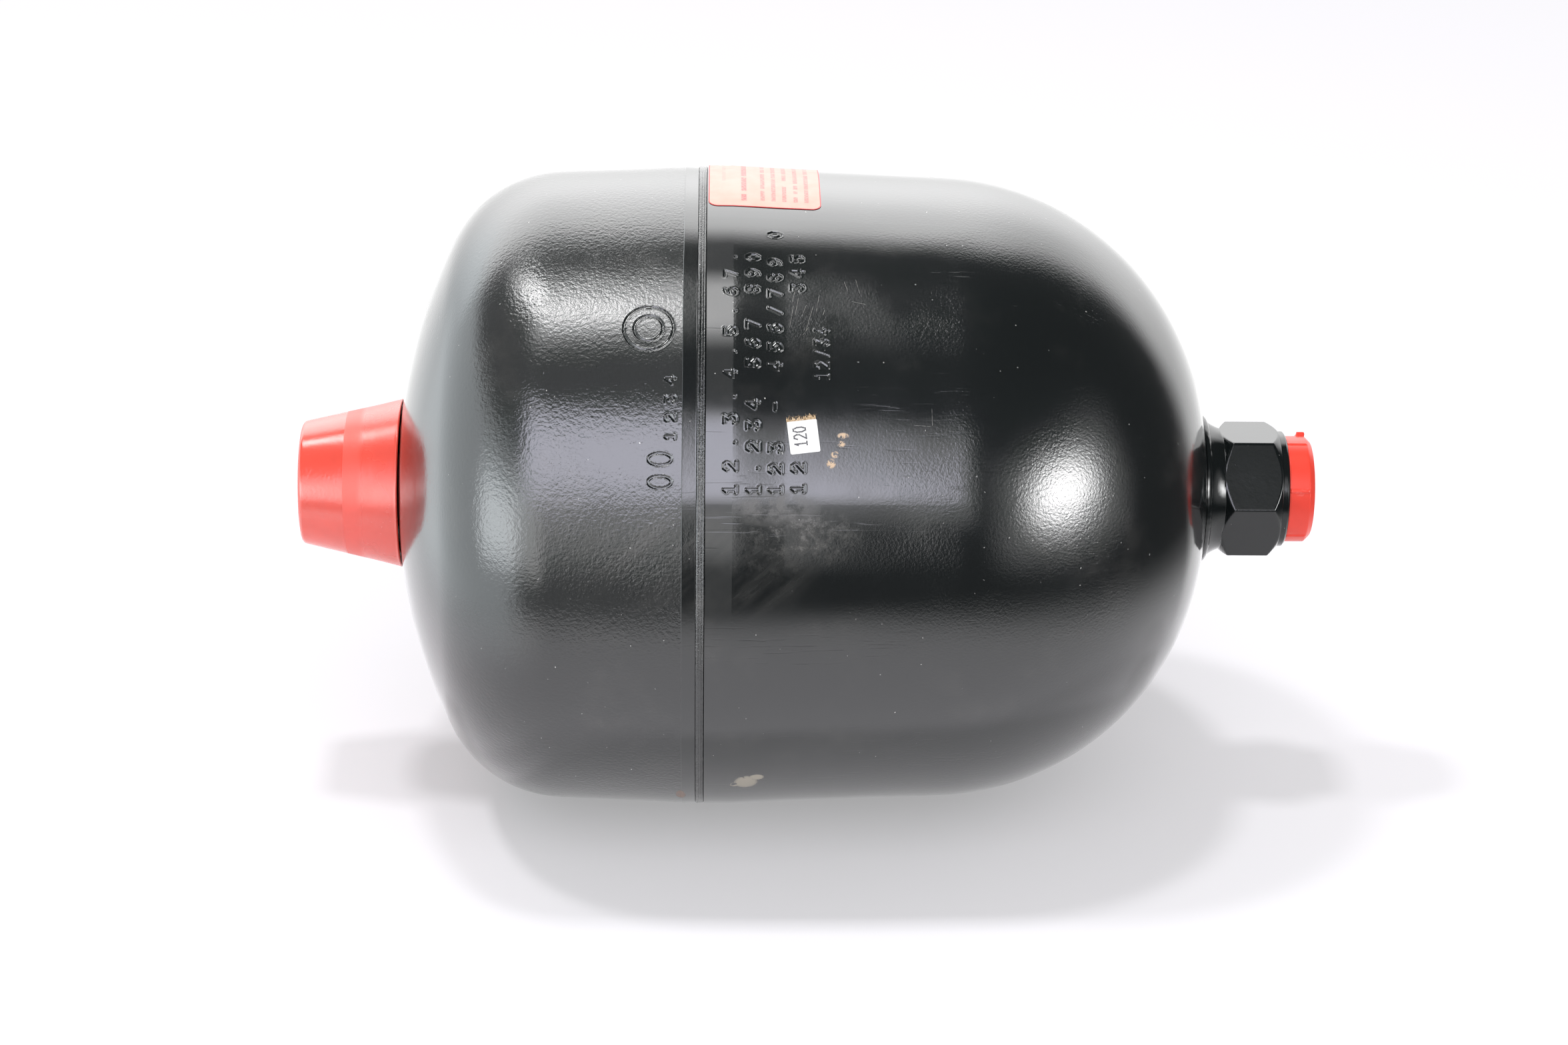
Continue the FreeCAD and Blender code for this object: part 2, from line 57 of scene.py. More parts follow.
# %% [markdown]
# ## Camera
# The photograph was taken with a long lens, a little above the vessel. Its angle was found from how much of
# the domes shows on either side. A camera can be aimed with a constraint or by its rotation. Here three
# directions are worked out and put in its matrix, because the vessel isn't in the picture's middle, and the
# picture is turned by a third of a degree.
# %% Camera
picture_width, picture_height = 2352, 1568
focal_pixels = 5580.0
axis_point = Vector((-0.1532, 0.0, 0.0))
axis_pixel = (1070.0, 727.4)
camera_distance = 1.0
camera_height_angle = math.radians(22.8)
camera_roll = math.radians(0.387)

back = Vector((0.0, -math.cos(camera_height_angle), math.sin(camera_height_angle)))
forward = -back
right = Vector((1.0, 0.0, 0.0))
up = right.cross(forward)
offset_x = axis_pixel[0] - picture_width / 2
offset_y = axis_pixel[1] - picture_height / 2
level_x = offset_x * math.cos(camera_roll) + offset_y * math.sin(camera_roll)
level_y = offset_y * math.cos(camera_roll) - offset_x * math.sin(camera_roll)


def swung(first, second, angle):
    """Two directions turned by an angle in their own plane, the first one towards the second."""
    c, s = math.cos(angle), math.sin(angle)
    return first * c + second * s, second * c - first * s


forward, right = swung(forward, right, -math.atan(level_x / focal_pixels))
forward, up = swung(forward, up, math.atan(level_y / focal_pixels))
right, up = swung(right, up, camera_roll)

camera_data = bpy.data.cameras.new("camera")
camera_data.sensor_width = 36.0
camera_data.lens = focal_pixels / picture_width * camera_data.sensor_width
camera_data.clip_start, camera_data.clip_end = 0.05, 50.0
camera = bpy.data.objects.new("camera", camera_data)
aim = Matrix((right, up, -forward)).transposed().to_4x4()
aim.translation = axis_point + back * camera_distance
camera.matrix_world = aim
scene = bpy.context.scene
scene.collection.objects.link(camera)
scene.camera = camera
scene.view_settings.view_transform = "Standard"
print("lens: %.1f mm" % camera_data.lens)

# %% [markdown]
# ## Shader maths
# Blender's materials are trees of nodes. A mask such as "dust, but not on the band" takes several Math nodes,
# and as a tree it is slow to write and hard to read. This class holds the output of a node, and adding or
# multiplying two of them makes the Math node, so a mask can be written as one expression.
# %% A socket that Python's operators work on
class Signal:
    """What leaves one socket of a node tree. Its operators add Math nodes to that tree."""

    def __init__(self, tree, socket=None):
        self.tree = tree
        self.socket = socket

    def node(self, kind, settings=None, sockets=None, out=0):
        """Adds a node: its settings first, then the values or links of its sockets."""
        made = self.tree.nodes.new(kind)
        for name, value in (settings or {}).items():
            setattr(made, name, value)
        for name, value in (sockets or {}).items():
            if isinstance(value, Signal):
                self.tree.links.new(value.socket, made.inputs[name])
            else:
                made.inputs[name].default_value = value
        return Signal(self.tree, made.outputs[out] if made.outputs else None)

    def math(self, operation, first, second=0.0):
        return self.node("ShaderNodeMath", {"operation": operation}, {0: first, 1: second})

    def __add__(self, other):
        return self.math("ADD", self, other)

    __radd__ = __add__

    def __sub__(self, other):
        return self.math("SUBTRACT", self, other)

    def __rsub__(self, other):
        return self.math("SUBTRACT", other, self)

    def __mul__(self, other):
        return self.math("MULTIPLY", self, other)

    __rmul__ = __mul__

    def __truediv__(self, other):
        return self.math("DIVIDE", self, other)

    def __rtruediv__(self, other):
        return self.math("DIVIDE", other, self)

    def ramp(self, low, high):
        """0 below low, 1 above high and smooth between them; with low above high it falls instead."""
        return self.node(
            "ShaderNodeMapRange", {"interpolation_type": "SMOOTHSTEP"},
            {"Value": self, "From Min": low, "From Max": high},
        )

    def least(self, other):
        return self.math("MINIMUM", self, other)

    def most(self, other):
        return self.math("MAXIMUM", self, other)

    def size(self):
        return self.math("ABSOLUTE", self)

    def root(self):
        return self.math("SQRT", self)

    def mixed(self, first, second):
        """Colour first where this mask is 0, and colour second where it is 1."""
        return self.node("ShaderNodeMix", {"data_type": "RGBA"}, {0: self, 6: first, 7: second}, 2)

    def stretched(self, x, y, z):
        return self.node("ShaderNodeVectorMath", {"operation": "MULTIPLY"}, {0: self, 1: (x, y, z)})

    def noise(self, scale, detail=2.0, roughness=0.5):
        return self.node(
            "ShaderNodeTexNoise", {"noise_dimensions": "3D"},
            {"Vector": self, "Scale": scale, "Detail": detail, "Roughness": roughness},
        )

    def parts(self):
        """The three numbers of a vector."""
        split = self.node("ShaderNodeSeparateXYZ", None, {0: self}).socket.node
        return [Signal(self.tree, socket) for socket in split.outputs]


def ray_kinds(place, *kinds):
    """Masks of the kinds of ray that arrive, such as Camera or Glossy."""
    rays = place.node("ShaderNodeLightPath").socket.node.outputs
    return [Signal(place.tree, rays["Is %s Ray" % kind]) for kind in kinds]


def grey(level):
    return (level, level, level, 1.0)


# %% [markdown]
# ## Studio
# The vessel lies on a white table in a photographer's tent. What makes black gloss paint look black and
# glossy is what it mirrors, so the tent is drawn for its reflections: a soft box on each side of the camera,
# a window behind it, a bright ceiling with a lamp, a bright back wall, and a dark room to the right. Lamps
# could do this, but their mirror images have hard edges. Here the tent is a pattern of directions in the
# world, with edges as soft as wanted, and only mirror-like rays see it.
# %% Directions of the tent
world = bpy.data.worlds.new("tent")
world.use_nodes = True
scene.world = world
world.node_tree.nodes.clear()
tent = Signal(world.node_tree)
side, depth, height = tent.node("ShaderNodeTexCoord").parts()
turn = tent.math("ARCTAN2", side, depth * -1.0) * math.degrees(1.0)
rise = tent.math("ARCSINE", height) * math.degrees(1.0)


def light_patch(across, along, centre, half, soft):
    """Soft-edged oblong in two measures of direction, such as turn and rise in degrees."""
    inside = 1.0
    for measure, middle, reach, edge in zip((across, along), centre, half, soft):
        inside = (measure - middle).size().ramp(reach + edge, reach - edge) * inside
    return inside


# %% [markdown]
# Turn is 0 towards the camera and positive to the right; rise is the angle above the table. Where patches
# meet, the brighter one wins, as one thing stands in front of another.
# %% The tent's reflections
dark_room = 0.05
tent_left = side.ramp(0.12, -0.02) * 0.42
left_wall = side.ramp(-0.30, -0.75) * rise.ramp(38.0, 20.0) * 2.1
behind = (depth - side.ramp(0.2, 0.7) * 0.13).ramp(0.40, 0.62)
right_part = side.ramp(0.10, 0.50) * rise.ramp(0.0, 30.0) * 0.42
back_wall = behind * (1.5 + rise.ramp(-5.0, 32.0) * 2.4 - rise.ramp(50.0, 70.0) * 3.0) * (1.0 - right_part)
overhead = height.ramp(0.3, 0.6)
ceiling = side.ramp(-0.50, -0.18) * side.ramp(0.077, 0.062) * depth.ramp(-0.38, -0.10) * depth.ramp(0.30, 0.08)
ceiling = ceiling * overhead * 4.3
ceiling_lamp = light_patch(side, depth + side * 0.86, (-0.26, -0.15), (0.20, 0.09), (0.16, 0.09))
ceiling_lamp = ceiling_lamp * overhead * 17.0
window_level = 5.0
window = light_patch(turn + rise * 0.12, rise, (-9.0, 32.0), (21.0, 15.5), (2.6, 4.5)) * window_level
window_side = light_patch(turn, rise, (6.0, 27.0), (9.0, 16.0), (4.0, 8.0)) * 1.3
window_foot = light_patch(turn, rise, (-24.0, 6.0), (14.0, 18.0), (9.0, 9.0)) * 2.8
window_glow = light_patch(turn, rise, (-14.0, 7.0), (20.0, 11.0), (1.5, 8.0)) * 1.5
left_box = light_patch(turn, rise, (-52.0, 2.5), (21.0, 14.0), (11.0, 9.0)) * 6.0
left_halo = light_patch(turn, rise, (-50.0, 8.0), (39.0, 18.0), (16.0, 12.0)) * 2.4
right_box = light_patch(turn, rise, (54.0, 12.0), (12.0, 7.0), (13.0, 9.0)) * 23.0
right_halo = light_patch(turn, rise, (54.0, 10.0), (28.0, 17.0), (12.0, 9.0)) * 1.1
far_table = rise.ramp(-16.0, -38.0) * (1.15 + side.ramp(0.0, -0.7) * 2.2)
patches = (
    tent_left, left_wall, back_wall, ceiling, ceiling_lamp, window_side, window_foot, window_glow,
    left_halo, left_box, right_halo, right_box, far_table,
)
mirrored = window.most(dark_room)
for patch in patches:
    mirrored = mirrored.most(patch)
print("patches of light:", len(patches) + 1)

# %% [markdown]
# Each kind of ray gets its own world. The camera and rays through glass see plain white, mirror-like rays
# see the tent, in which the window is slightly violet and the left wall slightly blue. Rays from rough
# surfaces see a plain even light, so that colours render about as they are written.
# %% World
camera_ray, glossy_ray, clear_ray = ray_kinds(tent, "Camera", "Glossy", "Transmission")
plain_level = 0.55
seen = camera_ray.most(clear_ray)
rough = 1.0 - seen.most(glossy_ray)
level = seen + glossy_ray * (1.0 - seen) * mirrored + rough * plain_level
tint = (window / window_level * glossy_ray).mixed(grey(1.0), (0.93, 0.93, 1.06, 1.0))
tint = (left_wall / 2.2 * glossy_ray).mixed(tint, (0.93, 0.99, 1.02, 1.0))
tent_light = tent.node("ShaderNodeBackground", None, {"Color": tint, "Strength": level})
tent.node("ShaderNodeOutputWorld", None, {"Surface": tent_light})
print("world nodes:", len(world.node_tree.nodes))


# %% [markdown]
# Two small lamps above the vessel, one of them further to the left, throw its double shadow on the table, and
# a large one in front lights what faces the camera.
# %% Lamps
lamp_distance = 2.4


def soft_lamp(name, turn, rise, size, light):
    """Square lamp that looks at the vessel. Turn 0 is on the camera's side, and 90 is on the right."""
    turn, rise = math.radians(turn), math.radians(rise)
    direction = Vector((math.sin(turn) * math.cos(rise), -math.cos(turn) * math.cos(rise), math.sin(rise)))
    data = bpy.data.lights.new(name, "AREA")
    data.size = size
    data.energy = light
    lamp = bpy.data.objects.new(name, data)
    lamp.location = axis_point + direction * lamp_distance
    lamp.rotation_mode = "QUATERNION"
    lamp.rotation_quaternion = (-direction).to_track_quat("-Z", "Y")
    lamp.visible_camera = False
    lamp.visible_glossy = False
    scene.collection.objects.link(lamp)


soft_lamp("lamp_above", turn=-90, rise=85, size=0.25, light=16.0)
soft_lamp("lamp_above_left", turn=-90, rise=67, size=0.25, light=16.0)
soft_lamp("lamp_front", turn=8, rise=38, size=2.2, light=22.0)
print("lamps:", len(bpy.data.lights))

# %% [markdown]
# The table is one large white sheet that the camera looks down on. Far away it turns into the white of the
# tent, so that a lower view has no horizon line. In the photograph it is lit brighter than white, which
# leaves only a pale shadow, so the camera sees part of it as plain white. Mirror-like rays that meet it far
# away go on to the tent's pattern.
# %% Table
table_height = -0.0855
table_reach = 6.0
table_colour = (0.935, 0.915, 0.965, 1.0)
white_share, mirror_share = 0.32, 0.2
table_mesh = bpy.data.meshes.new("table")
corners = [(-1, -1), (1, -1), (1, 1), (-1, 1)]
table_mesh.from_pydata(
    [(axis_point.x + x * table_reach, y * table_reach, table_height) for x, y in corners], [], [(0, 1, 2, 3)],
)
table = bpy.data.objects.new("table", table_mesh)
scene.collection.objects.link(table)
table_finish = bpy.data.materials.new("table_white")
table_finish.use_nodes = True
table_finish.node_tree.nodes.clear()
sheet = Signal(table_finish.node_tree)
across, away, _ = sheet.node("ShaderNodeTexCoord", out=3).parts()
sideways = across - axis_point.x
reach = (sideways * sideways + away * away).root()
seen_straight, seen_mirrored = ray_kinds(sheet, "Camera", "Glossy")
matt = sheet.node("ShaderNodeBsdfDiffuse", None, {"Color": table_colour})
white = sheet.node("ShaderNodeEmission", None, {"Color": grey(1.0), "Strength": 1.0 + seen_mirrored})
lit = sheet.node("ShaderNodeMixShader", None, {
    0: seen_straight * (white_share + reach.ramp(0.7, 2.2) * (1.0 - white_share)) + seen_mirrored * mirror_share,
    1: matt, 2: white,
})
nothing = sheet.node("ShaderNodeBsdfTransparent")
both = sheet.node("ShaderNodeMixShader", None, {0: seen_mirrored * reach.ramp(0.13, 0.31), 1: lit, 2: nothing})
sheet.node("ShaderNodeOutputMaterial", None, {"Surface": both})
table_mesh.materials.append(table_finish)
print("table at z = %.4f m" % table_height)

# %% [markdown]
# ## The shells' form
# A pressure vessel's end isn't a half ball: it has a slightly drafted wall, a knuckle arc and a flatter crown
# arc, each tangent to the next. The forging's sizes are written here in millimetres, and the class gives
# points along that outline, so that shells, labels and marks all lie on the same skin.
# %% The two outlines
def eased(part):
    """Numbers from 0 to 1, with a soft start and a soft end."""
    return part * part * (3 - 2 * part)


mm = 0.001
seam_x = -156.35
band_radius, forged_radius = 85.35, 85.2
shell_wall = 8.0
draft = math.radians(2.3)
seat_radius = 78.5
band_step, band_fall, band_fade = 0.12, 0.27, 14.0


class Outline:
    """Outer line of one half shell. u runs from the seam towards the pole, side is -1 for the gas end."""

    def __init__(self, side, height, crown, knuckle_centre, band_reach):
        self.side, self.height, self.crown, self.band_reach = side, height, crown, band_reach
        slope = math.tan(draft)
        self.knuckle = (forged_radius + slope * band_reach - knuckle_centre) * math.cos(draft)
        self.crown_centre = height - crown
        reach = crown - self.knuckle
        a = 1 + slope * slope
        b = -2 * (self.crown_centre + knuckle_centre * slope)
        c = self.crown_centre ** 2 + knuckle_centre ** 2 - reach ** 2
        self.knuckle_u = (-b + math.sqrt(b * b - 4 * a * c)) / (2 * a)
        self.knuckle_r = knuckle_centre - slope * self.knuckle_u
        self.knuckle_turn = math.atan2(self.knuckle_u - self.crown_centre, self.knuckle_r)
        self.wall_end = self.knuckle_u + self.knuckle * math.sin(draft)

    def wall_radius(self, u):
        """Radius of the turned band and of the drafted wall beside it.

        The gas end's band has a crisp step and falls a little towards the weld. The fluid end's runs out
        into the wall without a step.
        """
        u = np.asarray(u, float)
        drafted = forged_radius - (u - self.band_reach) * math.tan(draft)
        if self.side > 0:
            fade = np.clip(1.0 - (u - self.band_reach) / band_fade, 0.0, 1.0)
            drafted = drafted + (band_radius - forged_radius) * eased(fade)
        edge = np.clip((self.band_reach - u) / band_step + 0.5, 0.0, 1.0)
        fall = band_fall * np.clip(1.0 - u / self.band_reach, 0.0, 1.0) if self.side < 0 else 0.0
        return drafted + (band_radius - fall - drafted) * eased(edge)

    def wall(self, u, inset=0.0):
        """Points of the wall's outer line, or of the inner one if inset by the wall's thickness."""
        return np.stack([seam_x + self.side * u, self.wall_radius(u) - inset / math.cos(draft)], 1)

    def knuckle_arc(self, step, inset=0.0):
        """Points from the wall to the crown; the angle is measured from the radial direction."""
        size = self.knuckle - inset
        count = math.ceil(size * (self.knuckle_turn - draft) / step)
        turn = np.linspace(draft, self.knuckle_turn, count, endpoint=False)
        return np.stack([
            seam_x + self.side * (self.knuckle_u + size * np.sin(turn)), self.knuckle_r + size * np.cos(turn),
        ], 1)

    def crown_arc(self, step, stop_radius, inset=0.0):
        """Points from the knuckle to the hole at the pole."""
        size = self.crown - inset
        end = math.acos(stop_radius / size)
        count = math.ceil(size * (end - self.knuckle_turn) / step)
        turn = np.linspace(self.knuckle_turn, end, count + 1)
        return np.stack([
            seam_x + self.side * (self.crown_centre + size * np.sin(turn)), size * np.cos(turn),
        ], 1)


gas_end = Outline(-1, height=81.25, crown=148.0, knuckle_centre=51.96, band_reach=4.65)
fluid_end = Outline(1, height=135.45, crown=115.0, knuckle_centre=12.45, band_reach=7.75)
print("knuckles, mm: %.2f and %.2f" % (gas_end.knuckle, fluid_end.knuckle))


# %% [markdown]
# ## Turned pieces
# Nearly everything here was turned, forged or welded round one axis. A lathe function takes a closed section
# and a list of clock angles, and joins them with quads. Both lists may be uneven: they are dense where a
# stamped numeral needs it and coarse elsewhere, which keeps one smooth skin with no seams in its reflections.
# Clock angle 0 faces the camera, and 90 faces up.
# %% A lathe with uneven steps
sharp_from = math.radians(40.0)


def spread(*stretches):
    """Evenly spaced numbers over each stretch of (start, stop, largest step), without the last stop."""
    runs = []
    for start, stop, step in stretches:
        count = math.ceil(abs(stop - start) / step - 1e-9)
        runs.append(np.linspace(start, stop, count, endpoint=False))
    return np.concatenate(runs)


def mesh_from_grid(name, points, closed):
    """Mesh of quads over rings of points in millimetres. The last ring joins the first one if closed."""
    rows, columns = points.shape[:2]
    i = np.arange(rows if closed else rows - 1)[:, None]
    j = np.arange(columns)[None, :]
    next_i, next_j = (i + 1) % rows, (j + 1) % columns
    quads = np.stack([
        i * columns + j, next_i * columns + j, next_i * columns + next_j, i * columns + next_j,
    ], -1).reshape(-1, 4)
    mesh = bpy.data.meshes.new(name)
    mesh.vertices.add(rows * columns)
    mesh.vertices.foreach_set("co", (points * mm).astype(np.float32).ravel())
    mesh.loops.add(quads.size)
    mesh.loops.foreach_set("vertex_index", quads.astype(np.int32).ravel())
    mesh.polygons.add(len(quads))
    mesh.polygons.foreach_set("loop_start", np.arange(0, quads.size, 4, dtype=np.int32))
    mesh.update(calc_edges=True)
    mesh.shade_smooth()
    mesh.set_sharp_from_angle(angle=sharp_from)
    return mesh


def turned(name, section, clocks, push=None, closed=True, trim=None):
    """Solid of revolution. Push moves each point along the section's normal, in mm, and may vary round it.

    Trim is a function of x and radius that gives the radius to use.
    """
    section = np.asarray(section, float)
    ahead, behind = np.roll(section, -1, 0), np.roll(section, 1, 0)
    if not closed:
        ahead[-1], behind[0] = section[-1], section[0]
    tangent = ahead - behind
    tangent /= np.maximum(np.linalg.norm(tangent, axis=1), 1e-9)[:, None]
    area = np.sum(section[:, 0] * np.roll(section[:, 1], -1) - np.roll(section[:, 0], -1) * section[:, 1])
    if area > 0:
        section, tangent = section[::-1], -tangent[::-1]
        push = None if push is None else push[::-1]
    normal = np.stack([-tangent[:, 1], tangent[:, 0]], 1)
    push = np.zeros((len(section), len(clocks))) if push is None else push
    x = section[:, :1] + normal[:, :1] * push
    radius = section[:, 1:] + normal[:, 1:] * push
    radius = radius if trim is None else trim(x, radius)
    angle = np.radians(clocks)[None, :]
    points = np.stack([x + 0 * angle, -radius * np.cos(angle), radius * np.sin(angle)], -1)
    return mesh_from_grid(name, points, closed)


def repaired(mesh, merge=0.0):
    """Turns the faces of a closed mesh outwards, or merges points that lie within a distance in mm."""
    work = bmesh.new()
    work.from_mesh(mesh)
    if merge:
        bmesh.ops.remove_doubles(work, verts=work.verts, dist=merge * mm)
    else:
        bmesh.ops.recalc_face_normals(work, faces=work.faces)
    work.to_mesh(mesh)
    work.free()
    return mesh


def shown(mesh, finish, body, node=None):
    """Puts a mesh in the scene with its finish, on its body if it has one, in place of its measured node."""
    piece = bpy.data.objects.new(mesh.name, mesh)
    scene.collection.objects.link(piece)
    mesh.materials.clear()
    mesh.materials.append(finish)
    if body:
        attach(piece, body)
    if node:
        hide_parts(node)
    print("%-24s %7d points" % (mesh.name, len(mesh.vertices)))
    return piece


# %% [markdown]
# ## Uneven surfaces
# A forged and painted surface is never perfectly round, and the eye sees it at once in a reflection. A few
# sine waves with fixed, unrelated directions give a gentle unevenness that is the same on every run.
# %% Gentle unevenness
def waves(x, clocks, radius, wavelengths, height, seed):
    """Sum of sine waves over the skin, from -height to +height, x along and clocks round it."""
    chance = np.random.default_rng(seed)
    along = np.asarray(x)[:, None]
    total = np.zeros((along.shape[0], len(clocks)))
    for wavelength in wavelengths:
        for _ in range(4):
            turns = max(1, round(2 * math.pi * radius / wavelength * chance.uniform(0.3, 1.0)))
            pace = 2 * math.pi / wavelength * chance.uniform(0.2, 1.0) * chance.choice([-1, 1])
            total += np.sin(
                pace * along + turns * np.radians(clocks)[None, :] + chance.uniform(0, 2 * math.pi)
            ) * wavelength
    return total / np.abs(total).max() * height


# %% [markdown]
# ## Finishes
# Each finish is one Principled shader. What varies over the surface is worked out from the place on the
# object: fine orange peel as bump, dust and scuffs in the colour and the roughness.
# %% Gloss black paint
def new_finish(name, colour, roughness, metallic=0.0):
    """A material with one Principled shader, and the place on the object that its masks start from.

    Plain numbers are set on the shader's own sockets.
    """
    material = bpy.data.materials.new(name)
    material.use_nodes = True
    shader = material.node_tree.nodes["Principled BSDF"]
    shader.inputs["Base Color"].default_value = (*colour, 1.0)
    shader.inputs["Roughness"].default_value = roughness
    shader.inputs["Metallic"].default_value = metallic
    return material, shader, Signal(material.node_tree).node("ShaderNodeTexCoord", out=3)


def plug_in(shader, **signals):
    """Links signals to the shader's sockets; Base_Color stands for Base Color."""
    for name, value in signals.items():
        value.tree.links.new(value.socket, shader.inputs[name.replace("_", " ")])


def bumped(place, height):
    """The surface's direction where it stands up by a height in metres."""
    return place.node("ShaderNodeBump", None, {"Strength": 1.0, "Distance": 1.0, "Height": height})


def along_and_angle(place):
    """Place along the axis in metres, and clock angle in radians."""
    along, y, z = place.parts()
    return along, place.math("ARCTAN2", z, y * -1.0)


black = (0.0065, 0.0084, 0.0088)
dust_colour, lint_colour = (0.30, 0.285, 0.26, 1.0), (0.62, 0.62, 0.60, 1.0)
grit_height = 25e-6
plain_shine, coat_share, coat_roughness = 1.5, 0.78, 0.36
skin_radius = 85.0


def spot(place, x, clock, size_x, size_y, soft):
    """Mask of an oval spot on the skin, round its axis place and clock angle, sizes in mm.

    It is 0 outside the oval and rises to 1 inwards, sooner where soft is larger.
    """
    along, angle = along_and_angle(place)
    dx = (along - x * mm) * (1.0 / (size_x * mm))
    dy = (angle - math.radians(clock)) * (skin_radius / size_y)
    return (dx * dx + dy * dy).ramp(1.0, soft)


def grains(place, scale):
    """Mask of small round grains in a few of the cells of a pattern, and a chance number for each cell."""
    cells = place.node("ShaderNodeTexVoronoi", None, {"Vector": place, "Scale": scale})
    chance, size, _ = Signal(place.tree, cells.socket.node.outputs["Color"]).parts()
    return cells.ramp(0.10, 0.05) * chance.ramp(0.86, 0.88), size


def spots(place, soft, *ovals):
    """Mask of several spots together."""
    body = 0.0
    for oval in ovals:
        body = spot(place, *oval, soft).most(body)
    return body


def black_paint(
    name, peel, peel_size, lines=0.0, grows=None, fades=None, band=None, scuffs=(), bare=(), dust=1.0,
    shine=1.75,
):
    """Gloss black paint. Peel and lines are heights of the bump, in micrometres.

    Grows, fades and band are pairs of places along the axis, in metres. The peel is low up to the first
    place of grows and full from its second one on, dies away again between those of fades, and is slight
    on the turned band. Scuffs are masks of dust, and bare is a list of masks with their own colours.
    """
    material, shader, place = new_finish(name, black, 0.10)
    shader.inputs["IOR"].default_value = shine
    shader.inputs["Coat Weight"].default_value = coat_share * (shine - plain_shine)
    shader.inputs["Coat Roughness"].default_value = coat_roughness
    along, _, _ = place.parts()
    patchy = place.noise(24.0, 3.0, 0.6).ramp(0.30, 0.66) * 0.65 + 0.35
    if grows:
        patchy = patchy * (0.2 + 0.8 * along.ramp(*grows))
    if fades:
        patchy = patchy * (1.0 - 0.8 * along.ramp(*fades))
    if band:
        begin, end = band
        turned_smooth = along.ramp(begin - 1e-4, begin + 1e-4) * along.ramp(end + 1e-4, end - 1e-4)
        patchy = patchy * (1.0 - turned_smooth * 0.85)
    bumps = place.noise(1000.0 / peel_size, 2.4, 0.62) * (peel * 1e-6) * patchy
    if lines:
        streaks = place.stretched(0.035, 1.0, 1.0).noise(1100.0, 2.0, 0.6).ramp(0.60, 0.68)
        where = place.stretched(0.25, 1.0, 1.0).noise(60.0, 2.0).ramp(0.50, 0.62)
        bumps = bumps - streaks * where * (lines * 1e-6)
    grit, size = grains(place, 420.0)
    grit = grit * size
    drift = place.node("ShaderNodeTexNoise", None, {"Vector": place, "Scale": 700.0}, out=1)
    drift = place.node("ShaderNodeVectorMath", {"operation": "SCALE"}, {0: drift, "Scale": 0.0012})
    bent = place.node("ShaderNodeVectorMath", {"operation": "ADD"}, {0: place, 1: drift})
    lint, size = grains(bent, 480.0)
    lint = lint * (0.2 + size * 0.8) * dust
    dirt = place.noise(48.0, 5.0, 0.66).ramp(0.50, 0.80) * (0.06 * dust)
    for scuff in scuffs:
        dirt = dirt.most(scuff(place))
    colour = dirt.mixed((*black, 1.0), dust_colour)
    colour = lint.least(1.0).mixed(colour, lint_colour)
    cloudy = place.noise(38.0, 4.0, 0.65).ramp(0.38, 0.70)
    gloss = 0.065 + cloudy * 0.075 + dirt * 1.3
    for mask, tone in bare:
        uncovered = mask(place)
        colour = uncovered.mixed(colour, (*tone, 1.0))
        gloss = gloss + uncovered * 0.6
    plug_in(shader, Base_Color=colour, Roughness=gloss, Normal=bumped(place, bumps + grit * grit_height))
    return material


def smear(place):
    """Dried dusty film below the stamped rows, even above and broken up below."""
    along, _, _ = place.parts()
    film = spot(place, -138.5, 19.0, 14.0, 5.5, 0.0) * place.noise(260.0, 4.0, 0.7).ramp(0.30, 0.62) * 0.20
    film = film * along.ramp(-0.1488, -0.1484)
    crust = spot(place, -131.0, 14.0, 17.0, 9.0, 0.0) * place.noise(300.0, 7.0, 0.78).ramp(0.42, 0.72)
    veil = spot(place, -140.0, 12.0, 16.0, 12.0, 0.0) * place.noise(160.0, 5.0, 0.7).ramp(0.45, 0.75) * 0.10
    return film.most(crust * 0.26).most(veil)


def wiped(place):
    """Faint dust that a cloth has drawn into slanting streaks, on both sides of the weld."""
    along, _, up_skin = place.parts()
    slanted = place.node("ShaderNodeCombineXYZ", None, {
        0: (along * 0.75 + up_skin * 0.66) * 22.0, 1: (up_skin * 0.75 - along * 0.66) * 120.0,
    })
    return spot(place, -156.0, 9.0, 36.0, 17.0, 0.0) * slanted.noise(1.0, 5.0, 0.65).ramp(0.40, 0.70) * 0.11


def flakes(place):
    """Tan flakes of old adhesive beside the sticker."""
    body = spots(
        place, 0.3,
        (-121.3, 31.2, 1.6, 0.9), (-121.8, 29.8, 1.2, 0.9), (-123.3, 28.0, 1.1, 1.0), (-124.2, 26.5, 1.3, 1.4),
    )
    return body * place.noise(900.0, 4.0, 0.7).ramp(0.40, 0.50)


def chip(place):
    """Place below the band where the paint is chipped off down to a grey-brown primer."""
    body = spots(
        place, 0.4, (-144.3, -42.0, 3.4, 4.6), (-141.6, -40.0, 2.2, 2.0), (-147.2, -43.0, 1.4, 1.6),
    )
    return body * place.noise(420.0, 4.0, 0.7).ramp(0.36, 0.44)


def brown_patch(place):
    """Small bare patch at the gas end, near the weld."""
    body = spot(place, -161.2, -49.5, 1.5, 5.0, 0.3)
    return body * place.noise(500.0, 5.0, 0.7).ramp(0.36, 0.46)


scratch_width = 0.07


def scratch(place, start, end):
    """Mask of a thin straight scratch between two places, each an x in mm and a clock angle."""
    along, angle = along_and_angle(place)
    ends = [Vector((x, math.radians(clock) * skin_radius)) for x, clock in (start, end)]
    middle, direction = (ends[0] + ends[1]) / 2, (ends[1] - ends[0]).normalized()
    half_length = (ends[1] - ends[0]).length / 2
    dx, dy = along * 1000.0 - middle.x, angle * skin_radius - middle.y
    beside = (dx * direction.y - dy * direction.x).size()
    beyond = (dx * direction.x + dy * direction.y).size()
    return beside.ramp(scratch_width, scratch_width * 0.3) * beyond.ramp(half_length, half_length * 0.6)


